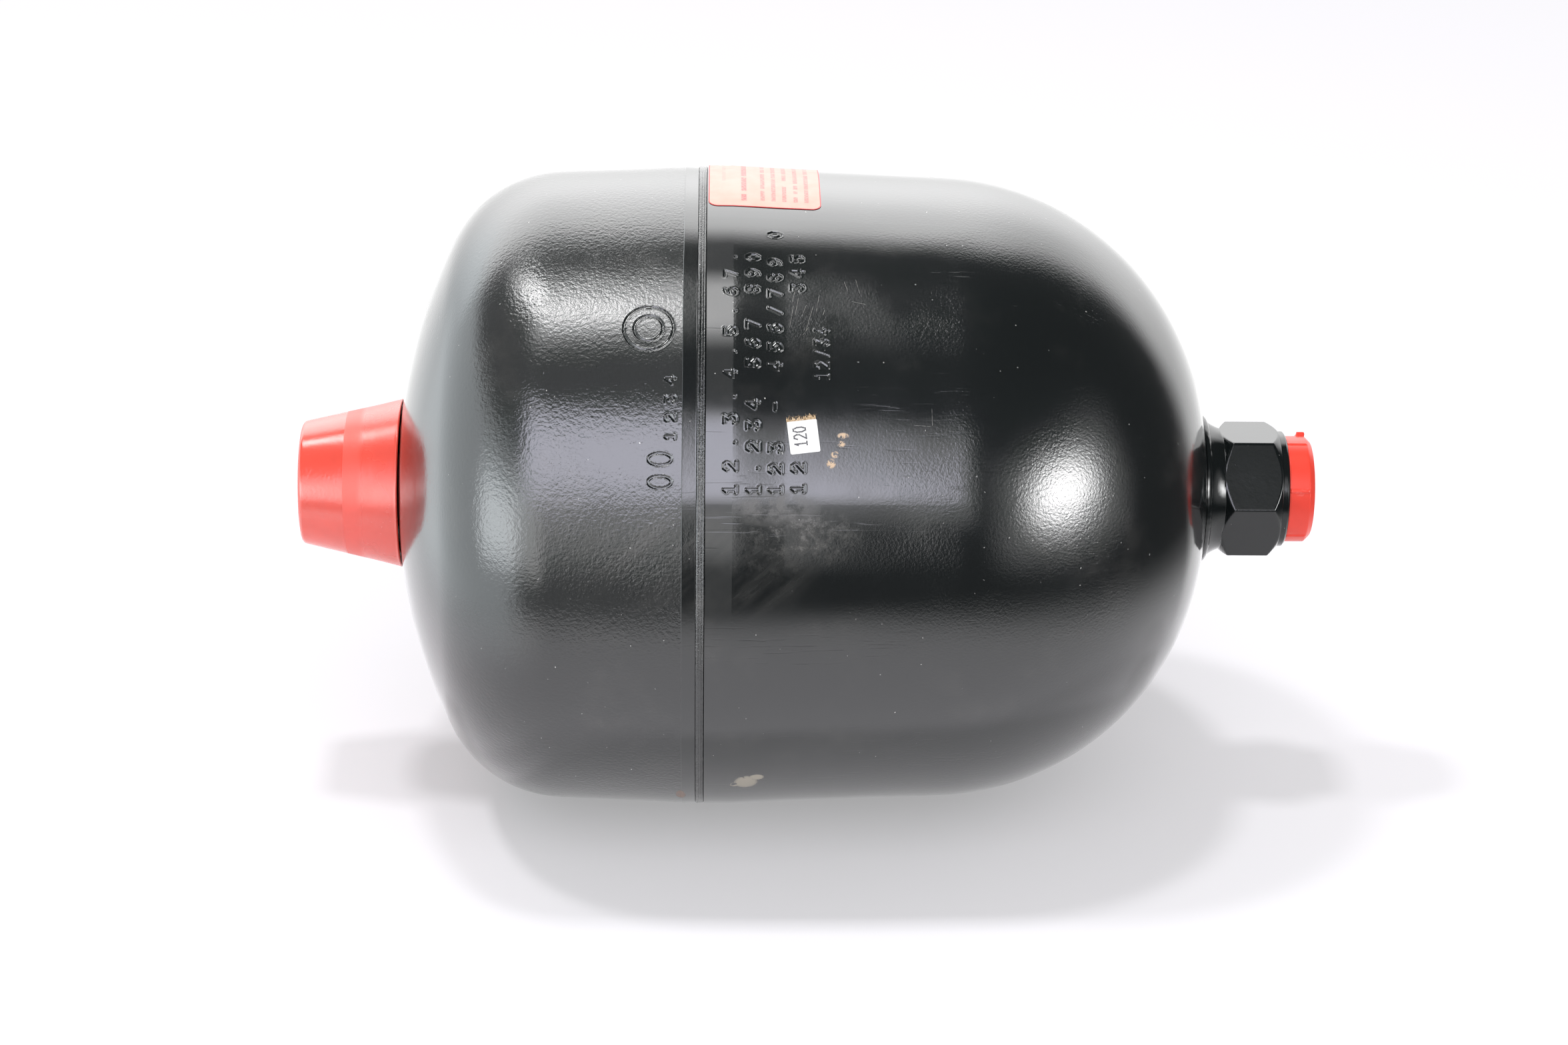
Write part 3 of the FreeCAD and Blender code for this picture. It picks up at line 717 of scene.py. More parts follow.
def scratches(place):
    """Fine scratches above the short row, and a bent one on the dome's wall."""
    lines = (
        (-133.4, 55.2, -134.6, 50.1), (-132.2, 56.7, -133.1, 52.9), (-130.2, 55.2, -131.6, 52.5),
        (-128.4, 55.3, -130.8, 48.9), (-127.0, 57.3, -127.9, 53.4), (-125.6, 54.4, -126.2, 53.0),
        (-133.0, 58.6, -133.9, 55.1), (-129.6, 50.7, -131.4, 48.9), (-119.2, 56.1, -115.2, 55.5),
        (-117.9, 61.1, -116.8, 57.6), (-120.8, 60.5, -119.8, 58.1), (-103.9, 33.2, -99.3, 33.0),
        (-99.3, 36.3, -99.2, 32.9),
    )
    marks = 0.0
    for x1, clock1, x2, clock2 in lines:
        marks = scratch(place, (x1, clock1), (x2, clock2)).most(marks)
    return marks * place.noise(900.0, 3.0, 0.7).ramp(0.34, 0.56) * 0.5


paint_fluid_end = black_paint(
    "black_paint_fluid_end", peel=72.0, peel_size=0.68, lines=12.0, grows=(-0.130, -0.075),
    fades=(-0.056, -0.038), band=(-0.157, -0.1486), scuffs=(smear, scratches, wiped),
    bare=((flakes, (0.60, 0.44, 0.30)), (chip, (0.36, 0.33, 0.27))),
)
paint_gas_end = black_paint(
    "black_paint_gas_end", peel=135.0, peel_size=0.90, lines=5.0, grows=(-0.226, -0.206),
    band=(-0.161, -0.155), scuffs=(wiped,), bare=((brown_patch, (0.24, 0.17, 0.14)),),
)
paint_fittings = black_paint("black_paint_fittings", peel=14.0, peel_size=1.2, dust=0.4, shine=plain_shine)
paint_weld = black_paint("black_paint_weld", peel=300.0, peel_size=0.40, dust=3.0)
print("finishes:", len(bpy.data.materials))

# %% [markdown]
# ## Stamped rows
# Such a vessel carries rows of stamped characters that run round it. Here they are plain numerals, drawn as
# strokes. Text objects would stand on the paint instead of sinking into it, and a bump map loses its walls,
# so the skin's own points are pressed in: each point looks up its distance to the nearest stroke.
# %% Numerals as strokes
stamp_radius = 85.3
numerals = {
    "0": [[(.3, 0), (.7, 0), (1, .3), (1, .7), (.7, 1), (.3, 1), (0, .7), (0, .3), (.3, 0)]],
    "1": [[(.25, .75), (.55, 1), (.55, 0)], [(.2, 0), (.9, 0)]],
    "2": [[(0, .75), (.25, 1), (.75, 1), (1, .78), (.95, .55), (0, 0), (1, 0)]],
    "3": [[(.05, 1), (.95, 1), (.5, .6), (.8, .55), (1, .33), (.95, .12), (.7, 0), (.25, 0), (0, .18)]],
    "4": [[(.75, 0), (.75, 1), (0, .3), (1, .3)]],
    "5": [[(.95, 1), (.1, 1), (.05, .55), (.6, .62), (1, .4), (.95, .15), (.65, 0), (.2, 0), (0, .15)]],
    "6": [[
        (.85, 1), (.35, .9), (0, .5), (0, .25), (.3, 0), (.7, 0), (1, .25), (.95, .45), (.7, .6), (.1, .45),
    ]],
    "7": [[(0, 1), (1, 1), (.35, 0)]],
    "8": [
        [(.3, .53), (.05, .77), (.3, 1), (.7, 1), (.95, .77), (.7, .53), (.3, .53)],
        [(.3, .53), (0, .27), (.3, 0), (.7, 0), (1, .27), (.7, .53)],
    ],
    "9": [[
        (.15, 0), (.65, .1), (1, .5), (1, .75), (.7, 1), (.3, 1), (0, .75), (.05, .55), (.3, .4), (.9, .55),
    ]],
    ".": [[(.5, .08), (.5, .09)]],
    "-": [[(.1, .5), (.9, .5)]],
    "/": [[(.1, 0), (.9, 1)]],
    " ": [],
}


def row_of(text, x_base, clock, pitch, width, height):
    """Strokes of a row that reads upwards, in mm along the axis and degrees round it."""
    strokes = []
    for index, character in enumerate(text):
        middle = clock + index * pitch
        for line in numerals[character]:
            strokes.append([
                (x_base - y * height, middle + math.degrees((x - 0.5) * width / stamp_radius)) for x, y in line
            ])
    return strokes


def ring_of(x, clock, along, across):
    """One oval stroke, its half sizes in mm."""
    turns = np.linspace(0, 2 * math.pi, 33)
    return [[
        (x + along * math.cos(turn), clock + math.degrees(across * math.sin(turn) / stamp_radius))
        for turn in turns
    ]]


lip_width, lip_share = 0.16, 0.15


def pressed(x, clocks, strokes, half_width, wall, depth):
    """How far each point of the skin is moved, in mm: down in a stroke, and slightly up along its edges."""
    far_away = 9.0
    nearest = np.full((len(x), len(clocks)), far_away)
    arc = np.radians(clocks) * stamp_radius
    margin = half_width + wall + 0.5
    for line in strokes:
        for start, end in zip(line, line[1:]):
            ax, aa = start[0], math.radians(start[1]) * stamp_radius
            bx, ba = end[0], math.radians(end[1]) * stamp_radius
            rows = np.where((x > min(ax, bx) - margin) & (x < max(ax, bx) + margin))[0]
            columns = np.where((arc > min(aa, ba) - margin) & (arc < max(aa, ba) + margin))[0]
            if not len(rows) or not len(columns):
                continue
            px, pa = x[rows][:, None], arc[columns][None, :]
            length = max((bx - ax) ** 2 + (ba - aa) ** 2, 1e-9)
            t = np.clip(((px - ax) * (bx - ax) + (pa - aa) * (ba - aa)) / length, 0, 1)
            gap = np.hypot(px - ax - t * (bx - ax), pa - aa - t * (ba - aa))
            block = np.ix_(rows, columns)
            nearest[block] = np.minimum(nearest[block], gap)
    inside = np.clip((half_width + wall - nearest) / wall, 0, 1)
    lip = np.exp(-((nearest - half_width - wall * 1.1) / lip_width) ** 2)
    return lip * depth * lip_share - eased(inside) * depth


fluid_rows = []
for text, x_base, clock, pitch in (
    ("12.3.4.5.67.", -147.7, 22.0, 3.92), ("1.234 567 890", -142.0, 22.0, 3.60),
    ("123 - 456/789 0", -136.5, 22.0, 3.52), ("12", -130.9, 22.2, 3.5), ("345", -130.9, 58.6, 3.3),
):
    fluid_rows += row_of(text, x_base, clock, pitch, 1.9, 3.0)
date_row = row_of("12/34", -124.8, 41.4, 2.1, 1.45, 3.3)
gas_row = row_of("1234", -162.7, 30.7, 3.25, 1.7, 2.5)
gas_marks = (
    ring_of(-166.4, 23.2, 2.9, 1.5) + ring_of(-166.4, 27.0, 2.9, 1.5)
    + ring_of(-169.5, 50.0, 6.2, 6.2) + ring_of(-169.5, 50.0, 3.6, 3.6)
)
print("strokes:", len(fluid_rows) + len(date_row) + len(gas_row) + len(gas_marks))

# %% [markdown]
# ## Fluid-end shell
# The deep half. Its section starts at the seam, follows the turned band, the wall and the dome to the port's
# hole, and comes back along the inside. The grid is dense under the stamped rows only.
# %% Fluid-end shell
stamp_step = 0.17
port_hole, valve_hole = 14.0, 12.0
weld_half = 1.15
stamp_turn = math.degrees(stamp_step / band_radius)
wall_step, crown_step, inner_step = 1.6, 1.8, 6.0


def shell_section(form, dense, seat_depth, hole):
    """Rows of the section: dense part of the wall, then the dome, the hole and the inside."""
    before_step = min(form.band_reach - 0.1, dense[0])
    stretches = [
        (weld_half, weld_half + 0.3, 0.1), (weld_half + 0.3, before_step, 0.5), (before_step, dense[0], 0.04),
        (dense[0], dense[1], stamp_step), (dense[1], form.wall_end, wall_step),
    ]
    outer = np.concatenate([
        form.wall(spread(*stretches)), form.knuckle_arc(wall_step), form.crown_arc(crown_step, hole),
    ])
    inner = np.concatenate([
        form.wall(np.linspace(seat_depth, form.wall_end, 6), shell_wall),
        form.knuckle_arc(inner_step, shell_wall), form.crown_arc(inner_step, hole, shell_wall),
    ])[::-1]
    seat = np.array([
        (seam_x + form.side * seat_depth, seat_radius), (seam_x + form.side * weld_half, seat_radius),
    ])
    return np.concatenate([outer, inner, seat]), len(outer)


def shell_mesh(name, form, dense, clocks, seat_depth, hole, strokes, unevenness, seed):
    """Lathe mesh of a half shell, slightly uneven, with its strokes pressed in.

    Each entry of strokes is a list of lines with the half width, the wall's slope and the depth, in mm.
    """
    section, outer = shell_section(form, dense, seat_depth, hole)
    x = section[:outer, 0]
    push = np.zeros((len(section), len(clocks)))
    fade = np.clip((np.abs(x - seam_x) - form.band_reach - 1.0) / 12.0, 0, 1)[:, None]
    sag = waves(x, clocks, skin_radius, (90.0, 45.0, 22.0), unevenness, seed) - unevenness
    push[:outer] = sag * (0.12 + 0.88 * fade)
    push[0] = push[outer - 1] = 0.0
    for lines, half_width, wall, depth in strokes:
        push[:outer] += pressed(x, clocks, lines, half_width, wall, depth)
    return turned(name, section, clocks, push)


fluid_clocks = spread((19.5, 76.0, stamp_turn), (76.0, 379.5, 2.0))
fluid_mesh = shell_mesh(
    "fluid_end_shell_forged", fluid_end, dense=(4.5, 32.6), clocks=fluid_clocks, seat_depth=13.0,
    hole=port_hole, strokes=[(fluid_rows, 0.24, 0.22, 0.24), (date_row, 0.10, 0.22, 0.20)],
    unevenness=0.045, seed=3,
)
shown(fluid_mesh, paint_fluid_end, "vessel", "fluid_end_shell")

# %% [markdown]
# ## Gas-end shell
# The shallow half has a tighter knuckle, a flatter crown and a rougher paint. A short row of numerals and
# plain round marks are stamped beside its band.
# %% Gas-end shell
gas_clocks = spread((19.0, 56.0, stamp_turn), (56.0, 379.0, 2.0))
gas_mesh = shell_mesh(
    "gas_end_shell_forged", gas_end, dense=(4.85, 20.6), clocks=gas_clocks, seat_depth=4.8,
    hole=valve_hole, strokes=[(gas_row, 0.20, 0.22, 0.24), (gas_marks, 0.20, 0.22, 0.22)],
    unevenness=0.055, seed=8,
)
shown(gas_mesh, paint_gas_end, "vessel", "gas_end_shell")

# %% [markdown]
# ## Girth weld
# The two halves are joined by one weld right through the wall, dressed on a lathe to just below the bands.
# What is left is a narrow strip of ridges and dark grooves that waver round the vessel.
# %% Girth weld
weld_clocks = spread((0.0, 360.0, 0.3))
weld_lines = np.linspace(-weld_half, weld_half, 37)
across_weld = weld_lines / weld_half
bead_drop, bead_curve, ripple_height = 0.16, 0.10, 0.09
bead = band_radius - bead_drop - bead_curve * across_weld ** 2
dips = sum(
    depth * np.exp(-((across_weld - place) / width) ** 2) for place, width, depth in (
        (-0.98, 0.07, 0.20), (-0.12, 0.06, 0.07), (0.40, 0.06, 0.10), (0.98, 0.06, 0.22),
    )
)
rises = 0.10 * np.exp(-((across_weld + 0.55) / 0.22) ** 2) + 0.06 * np.exp(-((across_weld - 0.70) / 0.1) ** 2)
weld_top = np.stack([seam_x + weld_lines, bead - dips + rises], 1)
weld_section = np.concatenate([
    weld_top, [(seam_x + weld_half, seat_radius), (seam_x - weld_half, seat_radius)],
])
ripple = waves(weld_lines, weld_clocks, skin_radius, (7.0, 2.4, 1.3), ripple_height, 21)
strength = 0.5 + 0.5 * np.exp(-((across_weld + 0.6) / 0.5) ** 2)
weld_push = np.zeros((len(weld_section), len(weld_clocks)))
weld_push[1:36] = (ripple * strength[:, None])[1:36]
weld_mesh = turned("shell_weld_bead", weld_section, weld_clocks, weld_push)
shown(weld_mesh, paint_weld, "vessel", "shell_weld")

# %% [markdown]
# ## Small turned parts
# The fittings come from bar stock and the plastic parts from moulds, and none of their edges is truly sharp.
# A bevel modifier could round them, but it makes thin faces on a lathe's mesh. Instead the section is drawn
# as corners with a radius each, and the arcs are put in before it is turned.
# %% Sections with rounded corners
def section_of(corners, step=0.8, arc_step=0.12, closed=True):
    """Points along a section. Each corner is (x, radius, rounding), all in mm."""
    count = len(corners)
    points = []
    for index, (x, radius, rounding) in enumerate(corners):
        here = np.array((x, radius), float)
        if not closed and index in (0, count - 1):
            points.append([here])
            continue
        before = np.array(corners[index - 1][:2], float) - here
        after = np.array(corners[(index + 1) % count][:2], float) - here
        before_length, after_length = np.linalg.norm(before), np.linalg.norm(after)
        before, after = before / before_length, after / after_length
        half = math.acos(np.clip(before @ after, -1, 1)) / 2
        if rounding <= 0 or half > math.radians(88.5):
            points.append([here])
            continue
        reach = min(rounding / math.tan(half), 0.49 * before_length, 0.49 * after_length)
        size = reach * math.tan(half)
        centre = here + (before + after) / np.linalg.norm(before + after) * size / math.sin(half)
        start, end = here + before * reach - centre, here + after * reach - centre
        turn = math.atan2(start[0] * end[1] - start[1] * end[0], start @ end)
        steps = max(3, math.ceil(abs(turn) * size / arc_step))
        arc = []
        for part in np.linspace(0, turn, steps + 1):
            c, s = math.cos(part), math.sin(part)
            arc.append(centre + (start[0] * c - start[1] * s, start[0] * s + start[1] * c))
        points.append(arc)
    filled = []
    for index, arc in enumerate(points):
        filled.extend(arc)
        if not closed and index == count - 1:
            break
        gap = points[(index + 1) % count][0] - arc[-1]
        pieces = math.ceil(np.linalg.norm(gap) / step)
        filled.extend(arc[-1] + gap * part / pieces for part in range(1, pieces))
    return np.array(filled)


def on_crown(form, radius, gap=0.0):
    """x of a point on a dome's crown arc, moved off the skin by the gap."""
    return seam_x + form.side * (form.crown_centre + math.sqrt((form.crown + gap) ** 2 - radius ** 2))


# %% [markdown]
# ## Fluid port
# The port fitting is one turned piece: a flared neck that is welded to the pole, a hexagon for a 32 mm
# spanner, and a collar with the threaded bore. A hexagon cut from round bar has curved chamfer lines where
# its flats meet the cone. They appear by themselves when every point of the turned outline is pulled in to
# the nearest flat. The pull is a soft minimum, which rounds the edges the way thick paint does.
# %% Port fitting
collar_radius, collar_length = 15.55, 1.9
across_flats, corner_clock, hexagon_length = 32.0, 3.5, 15.3
corner_radius = across_flats / 2 / math.cos(math.radians(30))
hexagon_end = -collar_length
hexagon_start = hexagon_end - hexagon_length
outer_chamfer, inner_chamfer = 2.6, 2.2
neck_radius = corner_radius - inner_chamfer
flare_radius, flare_land, flare_hollow = 18.85, 0.8, 0.32
foot_radius, weld_gap = 13.9, 0.05
recess_radius, recess_depth = 10.75, 3.6
thread_minor, thread_major, thread_end, thread_pitch = 9.316, 10.478, 17.0, 1.814
bore_radius = 7.5


def soft_least(first, second, blend):
    """The smaller of two numbers, with a rounded change from one to the other."""
    part = np.clip(0.5 + 0.5 * (second - first) / blend, 0, 1)
    return second + (first - second) * part - blend * part * (1 - part)


def hexagon_at(clocks, blend=0.35):
    """Radius of the hexagon at each clock angle, its corners slightly rounded."""
    turn = (np.asarray(clocks) - corner_clock) % 60.0
    near = across_flats / 2 / np.cos(np.radians(turn - 30.0))
    beside = across_flats / 2 / np.cos(np.radians(np.minimum(turn, 60.0 - turn) + 30.0))
    return soft_least(near, beside, blend)


fitting_clocks = np.concatenate([
    corner_clock + 60 * corner + spread((-6, 6, 0.5), (6, 54, 1.6)) for corner in range(6)
])
flare_top = on_crown(fluid_end, flare_radius, weld_gap) + flare_land
flare_line = [
    (
        flare_top + (hexagon_start - flare_top) * part,
        flare_radius + (neck_radius - flare_radius) * part - 4 * flare_hollow * part * (1 - part),
        0.0,
    ) for part in np.linspace(0, 1, 22)
]
crown_line = [
    (on_crown(fluid_end, radius, weld_gap), radius, 0.0) for radius in np.linspace(foot_radius, flare_radius, 6)
]
seat_start = seam_x + fluid_end.height - shell_wall - 1.8
fitting_section = section_of([
    (seat_start, bore_radius, 0.2), (seat_start, foot_radius, 0.3), *crown_line, *flare_line[:-1],
    (hexagon_start, neck_radius, 0.4), (hexagon_start + inner_chamfer, corner_radius, 0.3),
    (hexagon_end - outer_chamfer, corner_radius, 0.3), (hexagon_end, corner_radius - outer_chamfer, 0.25),
    (hexagon_end, collar_radius, 0.12), (-0.5, collar_radius, 0.2), (0, collar_radius - 0.5, 0.2),
    (0, recess_radius, 0.25), (-recess_depth, recess_radius, 0.15), (-recess_depth, thread_minor, 0.3),
    (-thread_end, thread_minor, 0.1), (-thread_end - thread_minor + bore_radius, bore_radius, 0.2),
], 0.28)


def thread_push(x, clocks, start, stop, pitch, depth):
    """Depth of a right-handed thread's groove at each point, fading out at both ends."""
    phase = (x[:, None] / pitch + np.asarray(clocks)[None, :] / 360.0) % 1.0
    groove = np.clip(1.5 - 3.2 * np.abs(phase - 0.5), 0, 1)
    fade = np.clip((x - start) / pitch, 0, 1) * np.clip((stop - x) / pitch, 0, 1)
    return groove * fade[:, None] * depth


in_bore = np.abs(fitting_section[:, 1] - thread_minor) < 0.02
fitting_push = np.zeros((len(fitting_section), len(fitting_clocks)))
fitting_push[in_bore] = -thread_push(
    fitting_section[in_bore, 0], fitting_clocks, -thread_end, -recess_depth, thread_pitch,
    thread_major - thread_minor,
)


def fitting_trim(points_x, radius):
    """Pulls the turned outline in to the hexagon."""
    flats = hexagon_at(fitting_clocks)[None, :]
    trimmed = soft_least(radius, np.broadcast_to(flats, radius.shape), 0.3)
    near = (points_x > hexagon_start - 0.4) & (points_x < hexagon_end + 0.01) & (radius > collar_radius - 0.1)
    return np.where(near, trimmed, radius)


fitting_mesh = turned("port_fitting", fitting_section, fitting_clocks, fitting_push, trim=fitting_trim)
shown(fitting_mesh, paint_fittings, "vessel", "fluid_port_fitting")

# %% [markdown]
# ## Welds at the poles
# Both fittings are welded to their dome with a small ring of weld. A weld bead is a row of overlapping
# ripples, so its section is turned and then pushed in and out along the way round.
# %% Pole welds
boss_collar, boss_weld_leg = 16.0, 2.6


def pole_weld(name, form, base_radius, leg, node, ripple_count, ripple_height, finish):
    """Ring of weld in the corner between a dome and the fitting that stands on it."""
    inner = base_radius + weld_gap
    under = [(on_crown(form, radius, weld_gap), radius, 0.0) for radius in np.linspace(inner, inner + leg, 5)]
    top = (under[0][0] + form.side * leg, inner, 0.0)
    toe = under[-1]
    bead = []
    for part in np.linspace(0, 1, 12)[1:-1]:
        rise = 0.2 * 4 * part * (1 - part)
        bead.append((
            toe[0] + (top[0] - toe[0]) * part + form.side * rise * math.sqrt(0.5),
            toe[1] + (top[1] - toe[1]) * part + rise * math.sqrt(0.5), 0.0,
        ))
    section = section_of(under + bead + [top], 0.5)
    clocks = spread((0.0, 360.0, 1.0))
    outer = np.hypot(section[:, 0] - under[0][0], section[:, 1] - inner) > 0.6 * leg
    ripple = 0.5 + 0.5 * np.sin(np.radians(clocks) * ripple_count + 1.3 * np.sin(np.radians(clocks) * 7))
    push = outer[:, None] * ripple[None, :] * -ripple_height
    shown(turned(name, section, clocks, push), finish, "vessel", node)


pole_weld(
    "port_weld_bead", fluid_end, flare_radius, leg=1.3, node="port_weld", ripple_count=58,
    ripple_height=0.015, finish=paint_fittings,
)
pole_weld(
    "gas_boss_weld_bead", gas_end, boss_collar, leg=boss_weld_leg, node="gas_boss_weld", ripple_count=46,
    ripple_height=0.12, finish=paint_weld,
)

# %% [markdown]
# ## Gas valve boss
# Under the red cap is a boss with a 28 mm thread for the charging tool. Its thread is a real helix: the
# groove's depth depends on the place along the axis and on the clock angle together.
# %% Boss
gas_pole = seam_x - gas_end.height
boss_tip = gas_pole - 22.9
boss_radius, boss_relief = 14.0, 12.9
relief_start = gas_pole - 4.5
valve_pitch, valve_groove = 1.5, 0.92
screw_bore, counterbore = 7.0, 10.0
floor_depth, bore_depth = 7.0, 12.0
boss_foot, gas_hole = 11.9, 2.5
boss_end = gas_pole + shell_wall + 1.2
boss_floor = boss_tip + floor_depth
bore_end = boss_floor + bore_depth
boss_base = [
    (on_crown(gas_end, radius, weld_gap), radius, 0.0) for radius in np.linspace(boss_foot, boss_collar, 5)
]
boss_section = section_of([
    (boss_end, gas_hole, 0.2), (boss_end, boss_foot, 0.3), *boss_base,
    (relief_start, boss_collar, 0.5), (relief_start, boss_relief, 0.4), (relief_start - 2.0, boss_relief, 0.3),
    (relief_start - 3.1, boss_radius, 0.15), (boss_tip + 1.0, boss_radius, 0.15),
    (boss_tip, boss_radius - 1.0, 0.2), (boss_tip, counterbore, 0.3), (boss_floor, counterbore, 0.2),
    (boss_floor, screw_bore, 0.2), (bore_end, screw_bore, 0.2), (bore_end + 4.5, gas_hole, 0.2),
], 0.2)
boss_clocks = spread((0.0, 360.0, 2.0))
on_thread = np.abs(boss_section[:, 1] - boss_radius) < 0.02
boss_push = np.zeros((len(boss_section), len(boss_clocks)))
boss_push[on_thread] = -thread_push(
    boss_section[on_thread, 0], boss_clocks, boss_tip + 0.6, relief_start - 2.6, valve_pitch, valve_groove,
)
print("boss tip x: %.2f mm" % boss_tip)
boss_mesh = turned("gas_boss", boss_section, boss_clocks, boss_push)
shown(boss_mesh, paint_fittings, "vessel", "gas_valve_boss")

# %% [markdown]
# ## Red cap
# A soft moulded cap slides over the boss. It flares a little more near its rim, and its closed end has
# a rounded edge. Moulded plastic has a fine matt texture, and a handled cap has faint scuffs.
# %% Cap
def red_plastic(name, colour, roughness, peel, wear, shine=plain_shine, rubbed_ring=None):
    """Moulded red plastic with a fine texture; peel is the bump's height in micrometres.

    A rubbed ring is a matt strip between two places along the axis; the end before it is polished.
    """
    material, shader, place = new_finish(name, colour, roughness)
    shader.inputs["IOR"].default_value = shine
    shader.inputs["Subsurface Weight"].default_value = 0.08
    shader.inputs["Subsurface Radius"].default_value = (0.004, 0.0012, 0.0008)
    shader.inputs["Subsurface Scale"].default_value = 0.5
    grain = place.noise(1600.0, 3.0, 0.6)
    dents = place.noise(1000.0, 2.0, 0.5)
    bump = bumped(place, grain * (peel * 1e-6) + dents * (peel * 1.6e-6))
    scuff = place.stretched(0.3, 1.0, 1.0).noise(700.0, 3.0, 0.7).ramp(0.60, 0.72)
    worn = scuff * place.noise(90.0).ramp(0.45, 0.65) * wear
    paler = tuple(0.75 * part + 0.22 for part in colour)
    tone = place.noise(60.0, 3.0, 0.6).ramp(0.35, 0.75)
    deeper = tuple(0.86 * part for part in colour)
    base = tone.mixed((*colour, 1.0), (*deeper, 1.0))
    satin = tone * 0.06 + worn * 0.2 + roughness
    if rubbed_ring:
        along, _, _ = place.parts()
        begin, end = rubbed_ring
        matt = along.ramp(begin - 1e-4, begin + 1e-4) * along.ramp(end + 1e-3, end - 1e-3)
        satin = satin + matt * 0.16 - along.ramp(begin + 1e-4, begin - 1e-4) * 0.08
    plug_in(shader, Base_Color=worn.mixed(base, (*paler, 1.0)), Roughness=satin, Normal=bump)
    return material


cap_red = red_plastic(
    "cap_red", (0.88, 0.070, 0.040), roughness=0.25, peel=14.0, wear=0.10, shine=1.85,
    rubbed_ring=(-0.2509, -0.2465),
)
plug_red = red_plastic("plug_red", (0.90, 0.055, 0.030), roughness=0.34, peel=7.0, wear=0.35)
cap_wall, cap_floor = 2.1, 2.3
cap_taper = math.tan(math.radians(13.0))
boss_play, tip_gap, weld_play, rim_gap = 0.2, 0.3, 1.95, 0.24
cap_end_radius = boss_radius + boss_play + cap_wall
cap_rim_radius = boss_collar + boss_weld_leg + weld_play + cap_wall
cap_inside = boss_tip - tip_gap
cap_end = cap_inside - cap_floor
cap_lip = on_crown(gas_end, cap_rim_radius) - rim_gap
cap_rim = on_crown(gas_end, cap_rim_radius - cap_wall) - rim_gap
cap_flare = cap_rim - 6.1
cap_flare_radius = cap_end_radius + cap_taper * (cap_flare - cap_end)
cap_section = section_of([
    (cap_end, 0.0, 0.0), (cap_end, cap_end_radius, 1.5), (cap_flare, cap_flare_radius, 9.0),
    (cap_lip, cap_rim_radius, 0.45), (cap_rim, cap_rim_radius - cap_wall, 0.4),
    (cap_flare, cap_flare_radius - cap_wall, 6.0),
    (cap_inside, cap_end_radius + cap_taper * cap_floor - cap_wall, 0.5), (cap_inside, 0.0, 0.0),
], 0.6, closed=False)
cap_clocks = spread((0.0, 360.0, 1.5))
cap_outer = int(np.argmax(cap_section[:, 1]))
cap_push = np.zeros((len(cap_section), len(cap_clocks)))
wobble = waves(cap_section[:cap_outer, 0], cap_clocks, 19.0, (30.0, 14.0), 0.05, 4) - 0.05
cap_push[:cap_outer] = wobble * np.clip(cap_section[:cap_outer, 1:] / 15.0, 0, 1)
cap_mesh = repaired(turned("gas_cap", cap_section, cap_clocks, cap_push, closed=False), merge=0.004)
shown(cap_mesh, cap_red, "cap", "gas_valve_cap")

# %% [markdown]
# ## Red plug
# The port's dust plug has thin ribs and one nub on its edge to grip it by, and a dished face. Ribs and nub
# are pushed out of the turned head, so that they have the small fillets of a moulded part at their feet.
# %% Plug
plug_radius, plug_head, plug_chamfer = 14.2, 7.0, 1.5
dish_radius, dish_floor, plug_inside = 9.5, 4.5, 2.0
rib_height, nub_height = 0.3, 1.1
spigot_outer, spigot_end = recess_radius - 0.1, -3.2
spigot_inner = spigot_outer - 1.1
plug_section = section_of([
    (plug_inside, 0.0, 0.0), (plug_inside, spigot_inner, 0.3), (spigot_end, spigot_inner, 0.2),
    (spigot_end, spigot_outer, 0.4), (0.0, spigot_outer, 0.15), (0.0, plug_radius, 0.25),
    (plug_head - plug_chamfer, plug_radius, 0.4), (plug_head, plug_radius - plug_chamfer, 0.4),
    (plug_head, dish_radius, 0.3), (dish_floor, dish_radius, 0.4), (dish_floor, 0.0, 0.0),
], 0.3, closed=False)
plug_clocks = spread((0.0, 360.0, 0.6))
on_side = np.abs(plug_section[:, 1] - plug_radius) < 0.35
side_x = plug_section[on_side, 0][:, None]
arc = np.radians(1.0) * plug_radius
rib_gap = np.abs((plug_clocks - 20.0 + 30.0) % 60.0 - 30.0) * arc
rib = np.clip((0.65 - rib_gap) / 0.4, 0, 1)[None, :] * np.clip((5.6 - side_x) / 0.5, 0, 1)
rib = rib * np.clip(side_x / 0.4, 0, 1)
nub_gap = np.abs((plug_clocks - 112.0 + 180.0) % 360.0 - 180.0) * arc
nub = np.clip((1.0 - nub_gap) / 0.45, 0, 1)[None, :] * np.clip((5.7 - side_x) / 0.3, 0, 1)
nub = nub * np.clip((side_x - 3.4) / 0.4, 0, 1)
plug_push = np.zeros((len(plug_section), len(plug_clocks)))
plug_push[on_side] = np.maximum(eased(rib) * rib_height, eased(nub) * nub_height)
plug_mesh = turned("port_dust_plug", plug_section, plug_clocks, plug_push, closed=False)
plug_mesh = repaired(plug_mesh, merge=0.004)
shown(plug_mesh, plug_red, "plug", "port_plug")

# %% [markdown]
# ## Sheets on the skin
# A label and a sticker are thin films that follow the shell's skin. A flat plane could be wrapped with a
# modifier, but then its edge would be as sharp as paper is drawn. Here a grid with rounded corners is laid
# on the skin twice, a film's thickness apart, and a narrow wall closes it all round.
# %% Sheets on the skin
film_thickness, film_lift = 0.12, 0.02
wrap_radius = band_radius + film_lift


